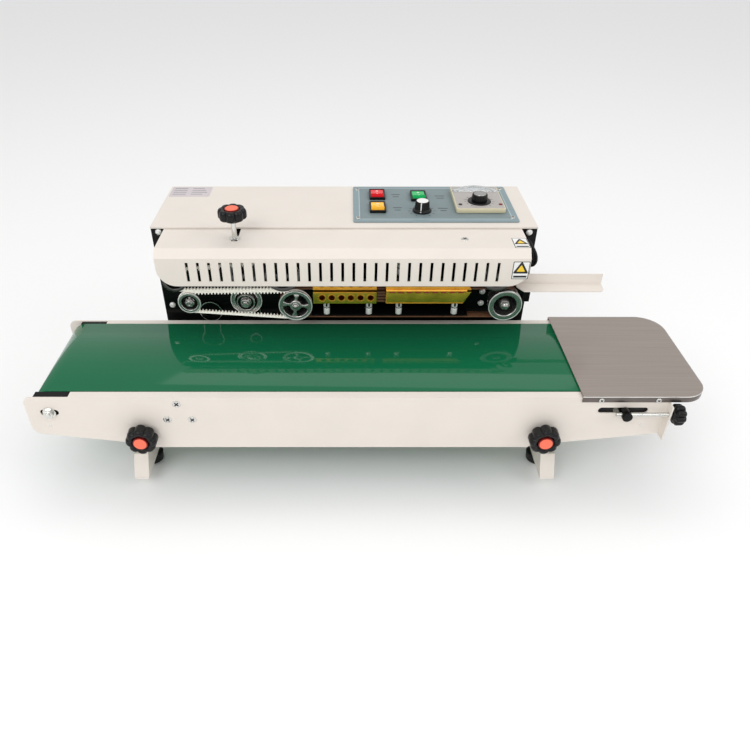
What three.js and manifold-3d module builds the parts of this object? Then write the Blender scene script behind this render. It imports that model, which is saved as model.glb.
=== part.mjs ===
// Continuous band sealer with a horizontal conveyor.
// Millimetres, +Z up, +X towards the infeed end, +Y towards the back of the machine.
// While the parts are built, Y = 0 is the front face of the head's front panel and Z = 0 the table.
// The last lines move the whole machine so that its origin is the bottom centre of its box.
import * as THREE from 'three';
import { mergeVertices } from 'three/addons/utils/BufferGeometryUtils.js';
import Module from 'manifold-3d';

const wasm = await Module();
wasm.setup();

// ---------- driving dimensions ----------
const GAP = 0.3;
const SHEET = 2;

const CONVEYOR = {
  left: -426, right: 416.5, frontY: -188, rearY: -11, top: 155, bottom: 73, legBottom: 82, endBottom: 97,
  panelRight: 370, flangeLeft: -370, flangeFront: 12, flangeRear: 8.5, earOut: 12.5, liftTravel: 15,
};
const BELT = {
  frontY: -174, rearY: -20, thick: 2,
  headX: -397.5, headZ: 131.5, headR: 23.5, tailX: 316, tailZ: 135, tailR: 20,
};
const DRIVE_ROLLER = { x: -237, z: 125.7, r: 13.5, shaftR: 5 };
const HEAD_SHAFT_R = 4.1;
const TENSION = {
  slotLeft: 284, slotRight: 346, slotR: 4.5, axleR: 6.2, neckR: 4.2, rodR: 2.75, rodOut: 8,
};
const PLATE = {
  left: 260.6, frontY: -190, rearY: -6, top: 158, thick: 1.5, lip: 8.5, frontR: 29, rearR: 34,
};

const HEAD = { left: -288, right: 225, depth: 140, bottom: 19, top: 294.5, panelThick: 3 };
const PANEL_TOP = HEAD.top - 2.8;
const GLAND = { x: -240, z: 60, collarR: 11, neckR: 7, boreR: 3.6 };
const GUARD = { left: -270, right: 204, top: 291.5, flangeY: -58, frontY: -68, bottom: 242.4, cornerR: 24 };
const GUARD_SLOTS = { first: -230.2, pitch: 14.09, count: 29, width: 3.6, low: 249, high: 276 };
const CONTROL = { left: -19, right: 203, frontY: 11, rearY: 134, thick: 1.8 };
const ROCKERS = { power: [15.3, 99.3], heater: [14.6, 53.6], fan: [74.2, 93.8] };
const ROCKER = {
  halfWide: 11.3, halfLong: 16.5, openHalfWide: 9.2, openHalfLong: 14.2, rimHigh: 3.8, tilt: 10,
};
const SPEED = { x: 75.2, y: 45, high: 15 };
const CONTROLLER = { left: 121.5, right: 189, frontY: 36.5, rearY: 117, high: 6.4 };
const DIAL = { x: 155.7, y: 62, skirtR: 16.2, gripR: 10.8, high: 11.8 };

const ARMS = {
  left: -293.4, right: 231.2, width: 19.2, bottom: 17, top: 47,
  frontY: -190, lean: 17, backY: 128, footY: -133,
};
const KNOB_STUDS = { left: -285.5, right: 220.8, z: 98.5, studR: 3 };
const FOOT = { r: 15, high: 17, rearY: 118, rearLeft: -236, rearRight: 176 };

const WHEEL = {
  beltR: 22.2, flangeR: 23, lowerZ: 201.2, rise: 44.8, shift: -15.5, driveX: -97, idlerX: 185.5,
};
const FLANGE = { frontY: -48.3, backY: -46.3 };
const PULLEY = { lowerX: -239.4, lowerZ: 205.6, upperX: -255.4, upperZ: 238.2, beltR: 16 };
const SEAL_BELT = { frontY: -41, rearY: -27, thick: 0.9 };
const GUIDE_BELT = { frontY: -46, rearY: -41.5, thick: 1.9 };
const EMBOSS = { x: -164.2, lowerZ: 204, upperZ: 247.8, r: 21.6, bossR: 12.6 };
const SHAFT_R = 4;
const GEAR = { teeth: 16, rootR: 19.4, tipR: 25.6, frontY: 8, backY: 17 };
const BLOCKS = { frontY: -47, rearY: -21, high: 17.8, lowerZ: 204.3, upperZ: 225 };
const COOLER = { left: -73, right: 12, holes: [-61, -48, -35, -22.5, -9.5, 4], holeR: 4.3 };
const HEATER = { left: 24, right: 138, cut: 9.5 };
const POST = { xs: [-55.4, 2.3, 42.9, 118.8], y: -38, r: 4 };
const RAIL = { left: -76, right: 137, shelfY: -42.3, lowZ: 182.4, highZ: 265, thick: 1.6 };
const INFEED = { left: 199, right: 314, fenceY: -30, shelfY: -50, z: 224.5, fenceTop: 240.5, thick: 1.5 };
const BRACKET = { left: 209.2, right: 217.5, dropY: -44, dropZ: 205.5 };
const PRESSURE = {
  x: -172, y: -30.5, stemR: 3.2, stemLow: 276, knobLow: 315.5, knobHigh: 333.5, gripHigh: 14.5,
};

// ---------- solids ----------
function solid(geometry) {
  const bare = geometry.index ? geometry.toNonIndexed() : geometry.clone();
  bare.deleteAttribute('normal');
  bare.deleteAttribute('uv');
  const merged = mergeVertices(bare, 1e-4);
  const index = merged.index.array;
  const position = merged.attributes.position;
  const triangles = [];
  for (let i = 0; i < index.length; i += 3) {
    const [a, b, c] = [index[i], index[i + 1], index[i + 2]];
    if (a !== b && b !== c && c !== a) triangles.push(a, b, c);
  }
  if (signedVolume(position, triangles) < 0) triangles.reverse();
  return new wasm.Manifold(new wasm.Mesh({
    numProp: 3,
    vertProperties: new Float32Array(position.array),
    triVerts: new Uint32Array(triangles),
  }));
}

function signedVolume(position, triangles) {
  const corners = [new THREE.Vector3(), new THREE.Vector3(), new THREE.Vector3()];
  let volume = 0;
  for (let i = 0; i < triangles.length; i += 3) {
    corners.forEach((corner, k) => corner.fromBufferAttribute(position, triangles[i + k]));
    volume += corners[0].dot(corners[1].cross(corners[2]));
  }
  return volume;
}

function box(x0, x1, y0, y1, z0, z1) {
  const geometry = new THREE.BoxGeometry(x1 - x0, y1 - y0, z1 - z0);
  return solid(geometry.translate((x0 + x1) / 2, (y0 + y1) / 2, (z0 + z1) / 2));
}

function outline(points) {
  return new THREE.Shape(points.map(([a, b]) => new THREE.Vector2(a, b)));
}

function extrude(shape, depth, curveSegments) {
  return new THREE.ExtrudeGeometry(shape, { depth, bevelEnabled: false, curveSegments });
}

// The outline is drawn in X and Z and runs from y0 to y1.
function prismY(shape, y0, y1, curveSegments = 6) {
  return solid(extrude(shape, y1 - y0, curveSegments).rotateX(Math.PI / 2).translate(0, y1, 0));
}

// The outline is drawn in Y and Z and runs from x0 to x1.
function prismX(shape, x0, x1, curveSegments = 6) {
  const turn = new THREE.Matrix4().makeBasis(
    new THREE.Vector3(0, 1, 0), new THREE.Vector3(0, 0, 1), new THREE.Vector3(1, 0, 0));
  return solid(extrude(shape, x1 - x0, curveSegments).applyMatrix4(turn).translate(x0, 0, 0));
}

// The outline is drawn in X and Y and runs from z0 to z1.
function prismZ(shape, z0, z1, curveSegments = 6) {
  return solid(extrude(shape, z1 - z0, curveSegments).translate(0, 0, z0));
}

// The profile is a list of [radius, distance along the axis], starting and ending on the axis.
function turned(profile, segments) {
  return new THREE.LatheGeometry(profile.map(([r, t]) => new THREE.Vector2(r, t)), segments);
}

function turnedY(profile, x, z, segments = 18) {
  return solid(turned(profile, segments).translate(x, 0, z));
}

function turnedZ(profile, x, y, segments = 16) {
  return solid(turned(profile, segments).rotateX(Math.PI / 2).translate(x, y, 0));
}

function turnedX(profile, y, z, segments = 12) {
  return solid(turned(profile, segments).rotateZ(-Math.PI / 2).translate(0, y, z));
}

function rod(r, t0, t1) {
  return [[0, t0], [r, t0], [r, t1], [0, t1]];
}

function barY(r, y0, y1, x, z, segments = 12) {
  return turnedY(rod(r, y0, y1), x, z, segments);
}

function barZ(r, z0, z1, x, y, segments = 12) {
  return turnedZ(rod(r, z0, z1), x, y, segments);
}

function barX(r, x0, x1, y, z, segments = 12) {
  return turnedX(rod(r, x0, x1), y, z, segments);
}

function joined(parts) {
  return parts.reduce((whole, part) => whole.add(part));
}

function cut(whole, parts) {
  return parts.reduce((rest, part) => rest.subtract(part), whole);
}

// ---------- outlines ----------
function roundedBox(x0, x1, y0, y1, r) {
  const shape = new THREE.Shape();
  shape.moveTo(x0 + r, y0).lineTo(x1 - r, y0).absarc(x1 - r, y0 + r, r, -Math.PI / 2, 0);
  shape.lineTo(x1, y1 - r).absarc(x1 - r, y1 - r, r, 0, Math.PI / 2);
  shape.lineTo(x0 + r, y1).absarc(x0 + r, y1 - r, r, Math.PI / 2, Math.PI);
  shape.lineTo(x0, y0 + r).absarc(x0 + r, y0 + r, r, Math.PI, 1.5 * Math.PI);
  return shape;
}

// A belt's outline round two circles of radius a.r and b.r, b lying to the left of a.
function loopOutline(a, b, grow) {
  const distance = Math.hypot(b.x - a.x, b.z - a.z);
  const lie = Math.atan2(b.z - a.z, b.x - a.x);
  const open = Math.acos((a.r - b.r) / distance);
  const shape = new THREE.Shape();
  shape.absarc(a.x, a.z, a.r + grow, lie + open, lie - open + 2 * Math.PI, false);
  shape.absarc(b.x, b.z, b.r + grow, lie - open, lie + open, false);
  return shape;
}

function beltLoop(a, b, thick, y0, y1, curveSegments = 7) {
  const outer = prismY(loopOutline(a, b, 0), y0, y1, curveSegments);
  const inner = prismY(loopOutline(a, b, -thick), y0 - 1, y1 + 1, curveSegments);
  return outer.subtract(inner);
}

// A star grip's outline: shallow scallops round a circle.
function starOutline(radius, lobes, depth) {
  const shape = new THREE.Shape();
  const steps = lobes * 3;
  for (let i = 0; i < steps; i++) {
    const angle = (i / steps) * 2 * Math.PI;
    const r = radius - depth * (0.5 - 0.5 * Math.cos(lobes * angle));
    if (i === 0) shape.moveTo(r, 0);
    else shape.lineTo(r * Math.cos(angle), r * Math.sin(angle));
  }
  return shape;
}

// A star grip standing on z = 0, with a round boss below and a cap on top.
function starKnob({ radius, high, bossHigh, capR, capHigh }) {
  const grip = prismZ(starOutline(radius, 8, 2.2), bossHigh, bossHigh + high);
  const boss = barZ(radius * 0.55, 0, bossHigh + 1, 0, 0);
  const cap = barZ(capR, bossHigh + high - 1, bossHigh + high + capHigh, 0, 0);
  return joined([grip, boss, cap]);
}

// ---------- materials ----------
const FINISHES = {
  beige: [0xe8e0d6, 0.5, 0.0],
  black: [0x0b0b0c, 0.3, 0.0],
  steel: [0xc4c2bd, 0.3, 1.0],
  stainless: [0xa39c97, 0.35, 1.0],
  belt: [0x0b5c38, 0.25, 0.0],
  brown: [0x6b4a30, 0.6, 0.0],
  cream: [0xd9d2c0, 0.7, 0.0],
  chromate: [0xb98a2e, 0.35, 1.0],
  rubber: [0x17181a, 0.8, 0.0],
  knob: [0x17181a, 0.5, 0.0],
  plate: [0x8fa3a6, 0.5, 0.2],
  red: [0xd02222, 0.3, 0.0],
  amber: [0xf0a010, 0.3, 0.0],
  green: [0x10a050, 0.3, 0.0],
  white: [0xe9e9e4, 0.4, 0.0],
};

const machine = new THREE.Group();

function place(name, body, finish) {
  const mesh = body.getMesh();
  const geometry = new THREE.BufferGeometry();
  geometry.setAttribute('position', new THREE.BufferAttribute(new Float32Array(mesh.vertProperties), 3));
  geometry.setIndex(new THREE.BufferAttribute(new Uint32Array(mesh.triVerts), 1));
  const [color, roughness, metalness] = FINISHES[finish];
  const part = new THREE.Mesh(geometry, new THREE.MeshStandardMaterial({ color, roughness, metalness }));
  part.name = name;
  machine.add(part);
}

// ---------- conveyor ----------
const innerFront = CONVEYOR.frontY + SHEET;
const innerRear = CONVEYOR.rearY - SHEET;

function sidePanelOutline() {
  const { left, panelRight, top, bottom, legBottom, endBottom } = CONVEYOR;
  const shape = new THREE.Shape();
  shape.moveTo(panelRight, top).lineTo(left + 10, top);
  shape.absarc(left + 10, top - 10, 10, Math.PI / 2, Math.PI);
  shape.absarc(left + 12, endBottom + 11, 12, Math.PI, 1.45 * Math.PI);
  shape.lineTo(-313, legBottom).lineTo(-290, legBottom);
  shape.lineTo(-281, bottom).lineTo(206, bottom).lineTo(215, legBottom);
  shape.lineTo(252, legBottom).lineTo(panelRight, endBottom);
  return shape;
}

// side is -1 for the front panel and +1 for the rear one.
function sidePanel(side) {
  const outer = side < 0 ? CONVEYOR.frontY : CONVEYOR.rearY;
  const inner = outer - side * SHEET;
  const span = (a, b) => [Math.min(a, b), Math.max(a, b)];
  const flange = span(outer, outer - side * (side < 0 ? CONVEYOR.flangeFront : CONVEYOR.flangeRear));
  const ear = span(inner, outer + side * CONVEYOR.earOut);
  const parts = [
    prismY(sidePanelOutline(), ...span(outer, inner)),
    box(CONVEYOR.flangeLeft, CONVEYOR.panelRight, ...flange, CONVEYOR.top - 1.5, CONVEYOR.top),
    box(CONVEYOR.panelRight - SHEET, CONVEYOR.panelRight, ...ear, CONVEYOR.endBottom, 149),
  ];
  const through = span(outer + side * 3, inner - side * 3);
  const slot = (x0, x1, r, z) => prismY(roundedBox(x0, x1, z - r, z + r, r - 0.01), ...through, 3);
  const rodY = outer + side * TENSION.rodOut;
  const holes = [
    slot(TENSION.slotLeft, TENSION.slotRight, TENSION.slotR, BELT.tailZ),
    slot(BELT.headX - 11.5, BELT.headX + 11.5, HEAD_SHAFT_R + 0.4, BELT.headZ),
    barX(TENSION.rodR + 0.35, 360, 380, rodY, BELT.tailZ, 8),
  ];
  if (side < 0) {
    for (const x of [KNOB_STUDS.left, KNOB_STUDS.right]) {
      holes.push(barY(KNOB_STUDS.studR + 0.35, ...through, x, KNOB_STUDS.z, 8));
    }
    return cut(joined(parts), holes);
  }
  const studs = [KNOB_STUDS.left, KNOB_STUDS.right].map(
    (x) => barY(KNOB_STUDS.studR, inner - 8, inner + 1, x, KNOB_STUDS.z, 8));
  return joined([cut(joined(parts), holes), ...studs]);
}

place('conveyor_panel_front', sidePanel(-1), 'beige');
place('conveyor_panel_rear', sidePanel(1), 'beige');

function conveyorBed() {
  const top = CONVEYOR.top - BELT.thick - 0.6;
  const sheet = box(-365, 286, innerFront + GAP, innerRear - GAP, top - 2, top);
  const webs = [-330, 180].map((x) =>
    box(x, x + 3, innerFront + GAP, innerRear - GAP, 121, top - 1));
  return joined([sheet, ...webs]);
}

place('conveyor_bed', conveyorBed(), 'black');

function conveyorBelt() {
  const tail = { x: BELT.tailX, z: BELT.tailZ, r: BELT.tailR };
  const head = { x: BELT.headX, z: BELT.headZ, r: BELT.headR };
  return beltLoop(tail, head, BELT.thick, BELT.frontY, BELT.rearY, 8);
}

place('conveyor_belt', conveyorBelt(), 'belt');

function endPlate() {
  const { left, frontY, rearY, top, thick, lip, frontR, rearR } = PLATE;
  const shell = (inset) => {
    const right = CONVEYOR.right - inset;
    const start = inset ? left - 5 : left;
    const shape = new THREE.Shape();
    shape.moveTo(start, frontY + inset).lineTo(right - frontR + inset, frontY + inset);
    shape.absarc(right - frontR + inset, frontY + frontR, frontR - inset, -Math.PI / 2, 0);
    shape.lineTo(right, rearY - rearR);
    shape.absarc(right - rearR + inset, rearY - rearR, rearR - inset, 0, Math.PI / 2);
    shape.lineTo(start, rearY - inset);
    return shape;
  };
  const outer = prismZ(shell(0), top - lip, top, 7);
  const inner = prismZ(shell(thick), top - lip - 1, top - thick, 7);
  return outer.subtract(inner);
}

place('end_plate', endPlate(), 'stainless');

// A roller on a shaft that runs in the two side panels.
function conveyorRoller(x, z, r, shaftR, y0, y1) {
  const profile = [
    [0, y0], [shaftR, y0], [shaftR, BELT.frontY + 2], [r, BELT.frontY + 2],
    [r, BELT.rearY - 2], [shaftR, BELT.rearY - 2], [shaftR, y1], [0, y1],
  ];
  return turnedY(profile, x, z, 16);
}

const headRollerR = BELT.headR - BELT.thick - GAP;
const shaftEnds = [CONVEYOR.frontY - 2, CONVEYOR.rearY + 2];
const headRoller = conveyorRoller(BELT.headX, BELT.headZ, headRollerR, HEAD_SHAFT_R, ...shaftEnds);
place('head_roller', headRoller, 'steel');

function driveRoller() {
  const { x, z, r, shaftR } = DRIVE_ROLLER;
  return conveyorRoller(x, z, r, shaftR, innerFront + GAP, innerRear - GAP);
}

place('drive_roller', driveRoller(), 'steel');

function tailAxle() {
  const { axleR, neckR, rodR, rodOut } = TENSION;
  const half = [
    [axleR, -203], [axleR, -189], [neckR, -189], [neckR, -185], [5.6, -185],
  ];
  const centre = (CONVEYOR.frontY + CONVEYOR.rearY) / 2;
  const mirrored = half.map(([r, y]) => [r, 2 * centre - y]).reverse();
  const profile = [[0, -203], ...half, ...mirrored, [0, 2 * centre + 203]];
  const axle = turnedY(profile, BELT.tailX, BELT.tailZ, 12);
  const holes = [CONVEYOR.frontY - rodOut, CONVEYOR.rearY + rodOut].map(
    (y) => barX(rodR + 0.35, BELT.tailX - 12, BELT.tailX + 12, y, BELT.tailZ, 8));
  return cut(axle, holes);
}

place('tail_axle', tailAxle(), 'black');

function tailRoller() {
  const r = BELT.tailR - BELT.thick - GAP;
  const tube = barY(r, BELT.frontY + 2, BELT.rearY - 2, BELT.tailX, BELT.tailZ, 16);
  return tube.subtract(barY(TENSION.axleR, BELT.frontY, BELT.rearY, BELT.tailX, BELT.tailZ, 16));
}

place('tail_roller', tailRoller(), 'steel');

// A threaded rod through the axle's cross hole, with a star grip beyond the side panel's ear.
function tensionScrew(y) {
  const star = extrude(starOutline(13.5, 8, 1.8), 13, 1);
  const grip = solid(star.rotateY(Math.PI / 2).translate(373.3, y, BELT.tailZ));
  const shaft = barX(TENSION.rodR, 304, 376, y, BELT.tailZ, 12);
  const boss = barX(7.5, 370.6, 374.3, y, BELT.tailZ, 12);
  return joined([grip, shaft, boss]);
}

place('tension_screw_front', tensionScrew(CONVEYOR.frontY - TENSION.rodOut), 'knob');
place('tension_screw_rear', tensionScrew(CONVEYOR.rearY + TENSION.rodOut), 'knob');

function heightKnob(x) {
  const star = starKnob({ radius: 19.8, high: 14, bossHigh: 7, capR: 8.5, capHigh: 1 });
  const knob = star.rotate([90, 0, 0]).translate([x, CONVEYOR.frontY - 1, KNOB_STUDS.z]);
  const stud = barY(KNOB_STUDS.studR, CONVEYOR.frontY - 3, innerFront + 8, x, KNOB_STUDS.z, 8);
  return joined([knob, stud]);
}

place('height_knob_left', heightKnob(KNOB_STUDS.left), 'knob');
place('height_knob_right', heightKnob(KNOB_STUDS.right), 'knob');

// ---------- support arms and feet ----------
// out is -1 for the left arm, whose flanges point to -X, and +1 for the right arm.
function supportArm(webX, out, studX) {
  const { width, bottom, top, frontY, lean, backY } = ARMS;
  const span = (a, b) => [Math.min(a, b), Math.max(a, b)];
  const behindPanel = innerFront + GAP;
  const tabTop = KNOB_STUDS.z + CONVEYOR.liftTravel + 7;
  const web = outline([
    [frontY, bottom], [backY, bottom], [backY, 45], [-20, 45], [-110, 56], [-150, 62], [-172, 80],
    [-177, 100], [-177, tabTop], [behindPanel, tabTop], [behindPanel, 84], [-178, 68], [frontY + lean, top],
  ]);
  const face = outline([
    [frontY, bottom], [frontY + SHEET, bottom], [frontY + lean + SHEET, top], [frontY + lean, top],
  ]);
  const outer = span(webX, webX + out * width);
  const under = span(webX + out * SHEET, webX - out * 30);
  const tab = span(webX + out * SHEET, 2 * studX - webX);
  const frontTab = box(...tab, behindPanel, behindPanel + SHEET, CONVEYOR.legBottom + 3, tabTop);
  const rearTab = box(...tab, innerRear - GAP - SHEET, innerRear - GAP, bottom + 12, tabTop);
  const slotZ = [KNOB_STUDS.z - 4, KNOB_STUDS.z + CONVEYOR.liftTravel + 4];
  const slot = roundedBox(studX - 3.6, studX + 3.6, ...slotZ, 3.5);
  const arm = joined([
    prismX(web, ...span(webX, webX + out * SHEET)),
    prismX(face, ...outer),
    box(...outer, frontY + 0.5, -104, bottom, bottom + SHEET),
    box(...outer, frontY + lean, -148, top - SHEET, top),
    box(...under, 6, backY, bottom, bottom + 1.7),
    frontTab,
    rearTab,
  ]);
  return arm.subtract(prismY(slot, CONVEYOR.frontY - 10, CONVEYOR.rearY + 10, 2));
}

place('support_arm_left', supportArm(ARMS.left, -1, KNOB_STUDS.left), 'beige');
place('support_arm_right', supportArm(ARMS.right, 1, KNOB_STUDS.right), 'beige');

function foot(x, y, high) {
  const profile = [
    [0, 0], [FOOT.r - 3, 0], [FOOT.r - 1, 2], [FOOT.r, high - 3], [FOOT.r - 2, high], [0, high],
  ];
  return turnedZ(profile, x, y, 12);
}

const frontFootHigh = FOOT.high - GAP;
place('foot_front_left', foot(ARMS.left - ARMS.width / 2, ARMS.footY, frontFootHigh), 'rubber');
place('foot_front_right', foot(ARMS.right + ARMS.width / 2, ARMS.footY, frontFootHigh), 'rubber');
place('foot_rear_left', foot(FOOT.rearLeft, FOOT.rearY, HEAD.bottom - GAP), 'rubber');
place('foot_rear_right', foot(FOOT.rearRight, FOOT.rearY, HEAD.bottom - GAP), 'rubber');

// ---------- head: chassis and covers ----------
const upperZ = WHEEL.lowerZ + WHEEL.rise;
const centres = {
  lower: {
    drive: [WHEEL.driveX, WHEEL.lowerZ], idler: [WHEEL.idlerX, WHEEL.lowerZ],
    emboss: [EMBOSS.x, EMBOSS.lowerZ], pulley: [PULLEY.lowerX, PULLEY.lowerZ],
  },
  upper: {
    drive: [WHEEL.driveX + WHEEL.shift, upperZ], idler: [WHEEL.idlerX + WHEEL.shift, upperZ],
    emboss: [EMBOSS.x, EMBOSS.upperZ], pulley: [PULLEY.upperX, PULLEY.upperZ],
  },
};

function chassis() {
  const { left, right, depth, bottom, panelThick } = HEAD;
  const plates = [
    box(left, right, 0, panelThick, bottom, PANEL_TOP),
    box(left + SHEET + GAP, right - SHEET - GAP, 1, depth - SHEET - GAP, bottom, bottom + SHEET),
    box(PRESSURE.x - 10, PRESSURE.x + 10, PRESSURE.y - 10, 1, 279, 288),
    box(114, 134, -44, 1, 286.5, 289.2),
    box(-250, -230, -44, 1, 286.5, 289.2),
  ];
  const holes = Object.values(centres).flatMap((row) => Object.values(row)).map(
    ([x, z]) => barY(SHAFT_R + 0.35, -2, 6, x, z, 10));
  holes.push(barZ(PRESSURE.stemR + 0.35, 270, 292, PRESSURE.x, PRESSURE.y, 12));
  return cut(joined(plates), holes);
}

place('chassis', chassis(), 'black');

function headCover() {
  const { left, right, depth, bottom, top, panelThick } = HEAD;
  const block = joined([
    box(left, right, panelThick + GAP, depth, bottom, top),
    box(left, right, -2, panelThick + 1, PANEL_TOP + GAP, top),
  ]);
  const hollow = joined([
    box(left + SHEET, right - SHEET, -1, depth - SHEET, bottom - 1, PANEL_TOP),
    box(left + SHEET, right - SHEET, panelThick, depth - SHEET, PANEL_TOP - 1, top - SHEET),
  ]);
  const { frontY, rearY } = CONTROL;
  const openings = [
    box(CONTROL.left + 8, CONTROL.right - 8, frontY + 8, rearY - 8, top - 5, top + 1),
    barY(GLAND.collarR - 2.6, depth - 5, depth + 1, GLAND.x, GLAND.z, 16),
  ];
  for (let i = 0; i < 9; i++) {
    for (const z of [190, 230]) {
      openings.push(box(-96 + i * 12, -91 + i * 12, depth - 5, depth + 1, z, z + 30));
    }
  }
  return cut(block, [hollow, ...openings]);
}

place('head_cover', headCover(), 'beige');

function cableGland() {
  const { x, z, collarR, neckR, boreR } = GLAND;
  const y = HEAD.depth;
  const profile = [
    [0, y - 10], [collarR - 3, y - 10], [collarR - 3, y + GAP], [collarR, y + GAP], [collarR, y + 8],
    [neckR, y + 14], [boreR, y + 14], [boreR, y - 6], [0, y - 6],
  ];
  return turnedY(profile, x, z, 12);
}

place('cable_gland', cableGland(), 'knob');

// ---------- head: controls ----------
const panelTopZ = HEAD.top + GAP + CONTROL.thick;

// The part of the temperature controller that stands in the head, as an X and Y range.
function controllerBack(grow) {
  const { left, right, frontY, rearY } = CONTROLLER;
  return [left + 4 - grow, right - 4 + grow, frontY + 6.5 - grow, rearY - 7 + grow];
}

// A rocker switch's rectangular opening, as an X and Y range.
function rockerOpening([x, y], grow) {
  const { openHalfWide, openHalfLong } = ROCKER;
  const [a, b] = [openHalfWide + grow, openHalfLong + grow];
  return [x - a, x + a, y - b, y + b];
}

function controlPlate() {
  const { left, right, frontY, rearY, thick } = CONTROL;
  const plate = prismZ(roundedBox(left, right, frontY, rearY, 3), panelTopZ - thick, panelTopZ, 3);
  const through = [panelTopZ - 5, panelTopZ + 5];
  const openings = Object.values(ROCKERS).map((at) => box(...rockerOpening(at, 0.2), ...through));
  openings.push(barZ(SHAFT_R + 0.35, ...through, SPEED.x, SPEED.y, 12));
  openings.push(box(...controllerBack(GAP), ...through));
  return cut(plate, openings);
}

place('control_plate', controlPlate(), 'plate');

const onPlate = panelTopZ + GAP;

function bezel(name) {
  const [x, y] = ROCKERS[name];
  const { halfWide, halfLong, rimHigh } = ROCKER;
  const frame = box(x - halfWide, x + halfWide, y - halfLong, y + halfLong, onPlate, onPlate + rimHigh);
  return frame.subtract(box(...rockerOpening([x, y], 0), onPlate - 1, onPlate + rimHigh + 1));
}

// A rocker lies tilted about X: one end down in its bezel and the other end up.
function rocker(name) {
  const [x, y] = ROCKERS[name];
  const end = ROCKER.openHalfLong - 1.2;
  const side = outline([[-end, 3.2], [0, 1.4], [end, 3.2], [end - 1.2, -5], [1.2 - end, -5]]);
  const halfWide = ROCKER.openHalfWide - GAP;
  const tilted = prismX(side, -halfWide, halfWide).rotate([-ROCKER.tilt, 0, 0]);
  return tilted.translate([x, y, onPlate + 2.4]);
}

const rockerFinish = { power: 'red', heater: 'amber', fan: 'green' };
for (const name of Object.keys(ROCKERS)) {
  place(`bezel_${name}`, bezel(name), 'knob');
  place(`rocker_${name}`, rocker(name), rockerFinish[name]);
}

function speedKnob() {
  const { x, y, high } = SPEED;
  const z = onPlate;
  const profile = [
    [0, z - 14], [SHAFT_R, z - 14], [SHAFT_R, z], [13, z], [13, z + 2.5], [10.3, z + 3.5],
    [9.4, z + high - 1], [8.4, z + high], [0, z + high],
  ];
  return turnedZ(profile, x, y, 16);
}

place('speed_knob', speedKnob(), 'knob');

function temperatureController() {
  const { left, right, frontY, rearY, high } = CONTROLLER;
  const top = onPlate + high;
  const face = prismZ(roundedBox(left, right, frontY, rearY, 2.5), onPlate, top, 3);
  const back = box(...controllerBack(0), onPlate - 60, onPlate + 1);
  const scaleWindow = box(left + 6, right - 6, rearY - 31, rearY - 5, top - 1, top + 2.2);
  const bore = barZ(SHAFT_R + 0.35, top - 12, top + 1, DIAL.x, DIAL.y, 12);
  return joined([face, back, scaleWindow]).subtract(bore);
}

place('temp_controller', temperatureController(), 'white');

function tempDial() {
  const { x, y, skirtR, gripR, high } = DIAL;
  const z = onPlate + CONTROLLER.high;
  const profile = [
    [0, z - 8], [SHAFT_R, z - 8], [SHAFT_R, z + GAP], [skirtR, z + GAP], [skirtR, z + 1.8],
    [gripR, z + 2.2], [gripR - 0.3, z + high - 1], [gripR - 1, z + high], [0, z + high],
  ];
  return turnedZ(profile, x, y, 16);
}

place('temp_dial', tempDial(), 'knob');

// ---------- front guard and infeed guide ----------
function frontGuard() {
  const { left, right, top, flangeY, frontY, bottom, cornerR } = GUARD;
  const fold = flangeY - frontY;
  const section = outline([
    [-GAP, top], [flangeY, top], [frontY, top - fold], [frontY, bottom],
    [frontY + SHEET, bottom], [frontY + SHEET, top - fold - 0.8], [flangeY + 0.8, top - SHEET],
    [-GAP, top - SHEET],
  ]);
  const faceShape = new THREE.Shape();
  faceShape.moveTo(left, top + 1).lineTo(left, bottom + cornerR);
  faceShape.absarc(left + cornerR, bottom + cornerR, cornerR, Math.PI, 1.5 * Math.PI);
  faceShape.absarc(right - cornerR, bottom + cornerR, cornerR, -Math.PI / 2, 0);
  faceShape.lineTo(right, top + 1);
  const sheet = prismX(section, left, right).intersect(prismY(faceShape, frontY - 1, 5));
  const { first, pitch, count, width, low, high } = GUARD_SLOTS;
  const slots = [];
  for (let i = 0; i < count; i++) {
    const x = first + i * pitch;
    slots.push(box(x - width / 2, x + width / 2, frontY - 1, frontY + SHEET + 1, low, high));
  }
  slots.push(box(PRESSURE.x - 4, PRESSURE.x + 4, PRESSURE.y - 7.5, 1, top - 3, top + 1));
  return cut(sheet, slots);
}

place('front_guard', frontGuard(), 'beige');

function infeedGuide() {
  const { left, right, fenceY, shelfY, z, fenceTop, thick } = INFEED;
  const section = outline([
    [fenceY, fenceTop], [fenceY - thick, fenceTop], [fenceY - thick, z + thick],
    [shelfY, z + thick - 1], [shelfY, z - 1], [fenceY, z],
  ]);
  const plan = new THREE.Shape();
  plan.moveTo(left, fenceY + 1).lineTo(left, shelfY + 12).lineTo(left + 9, shelfY - 1);
  plan.lineTo(right - 9, shelfY - 1).absarc(right - 9, shelfY + 8, 9, -Math.PI / 2, 0);
  plan.lineTo(right, fenceY + 1);
  return prismX(section, left, right).intersect(prismZ(plan, z - 5, fenceTop + 1, 4));
}

place('infeed_guide', infeedGuide(), 'beige');

function guideBracket() {
  const { fenceY, z } = INFEED;
  const { left, right, dropY, dropZ } = BRACKET;
  const low = z - 1.6;
  return joined([
    box(left, right, -3.3, -GAP, 195, low),
    box(left, right, dropY, -GAP, low - SHEET, low),
    box(left, right, dropY, dropY + SHEET, dropZ, low),
    box(left, right, fenceY + GAP, fenceY + GAP + SHEET, low - SHEET, z + 9),
  ]);
}

place('guide_bracket', guideBracket(), 'black');

// ---------- sealing blocks ----------
function cooler(z) {
  const { left, right, holes, holeR } = COOLER;
  const block = box(left, right, BLOCKS.frontY, BLOCKS.rearY, z, z + BLOCKS.high);
  return cut(block, holes.map(
    (x) => barY(holeR, BLOCKS.frontY - 1, BLOCKS.rearY + 1, x, z + BLOCKS.high / 2, 8)));
}

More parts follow.
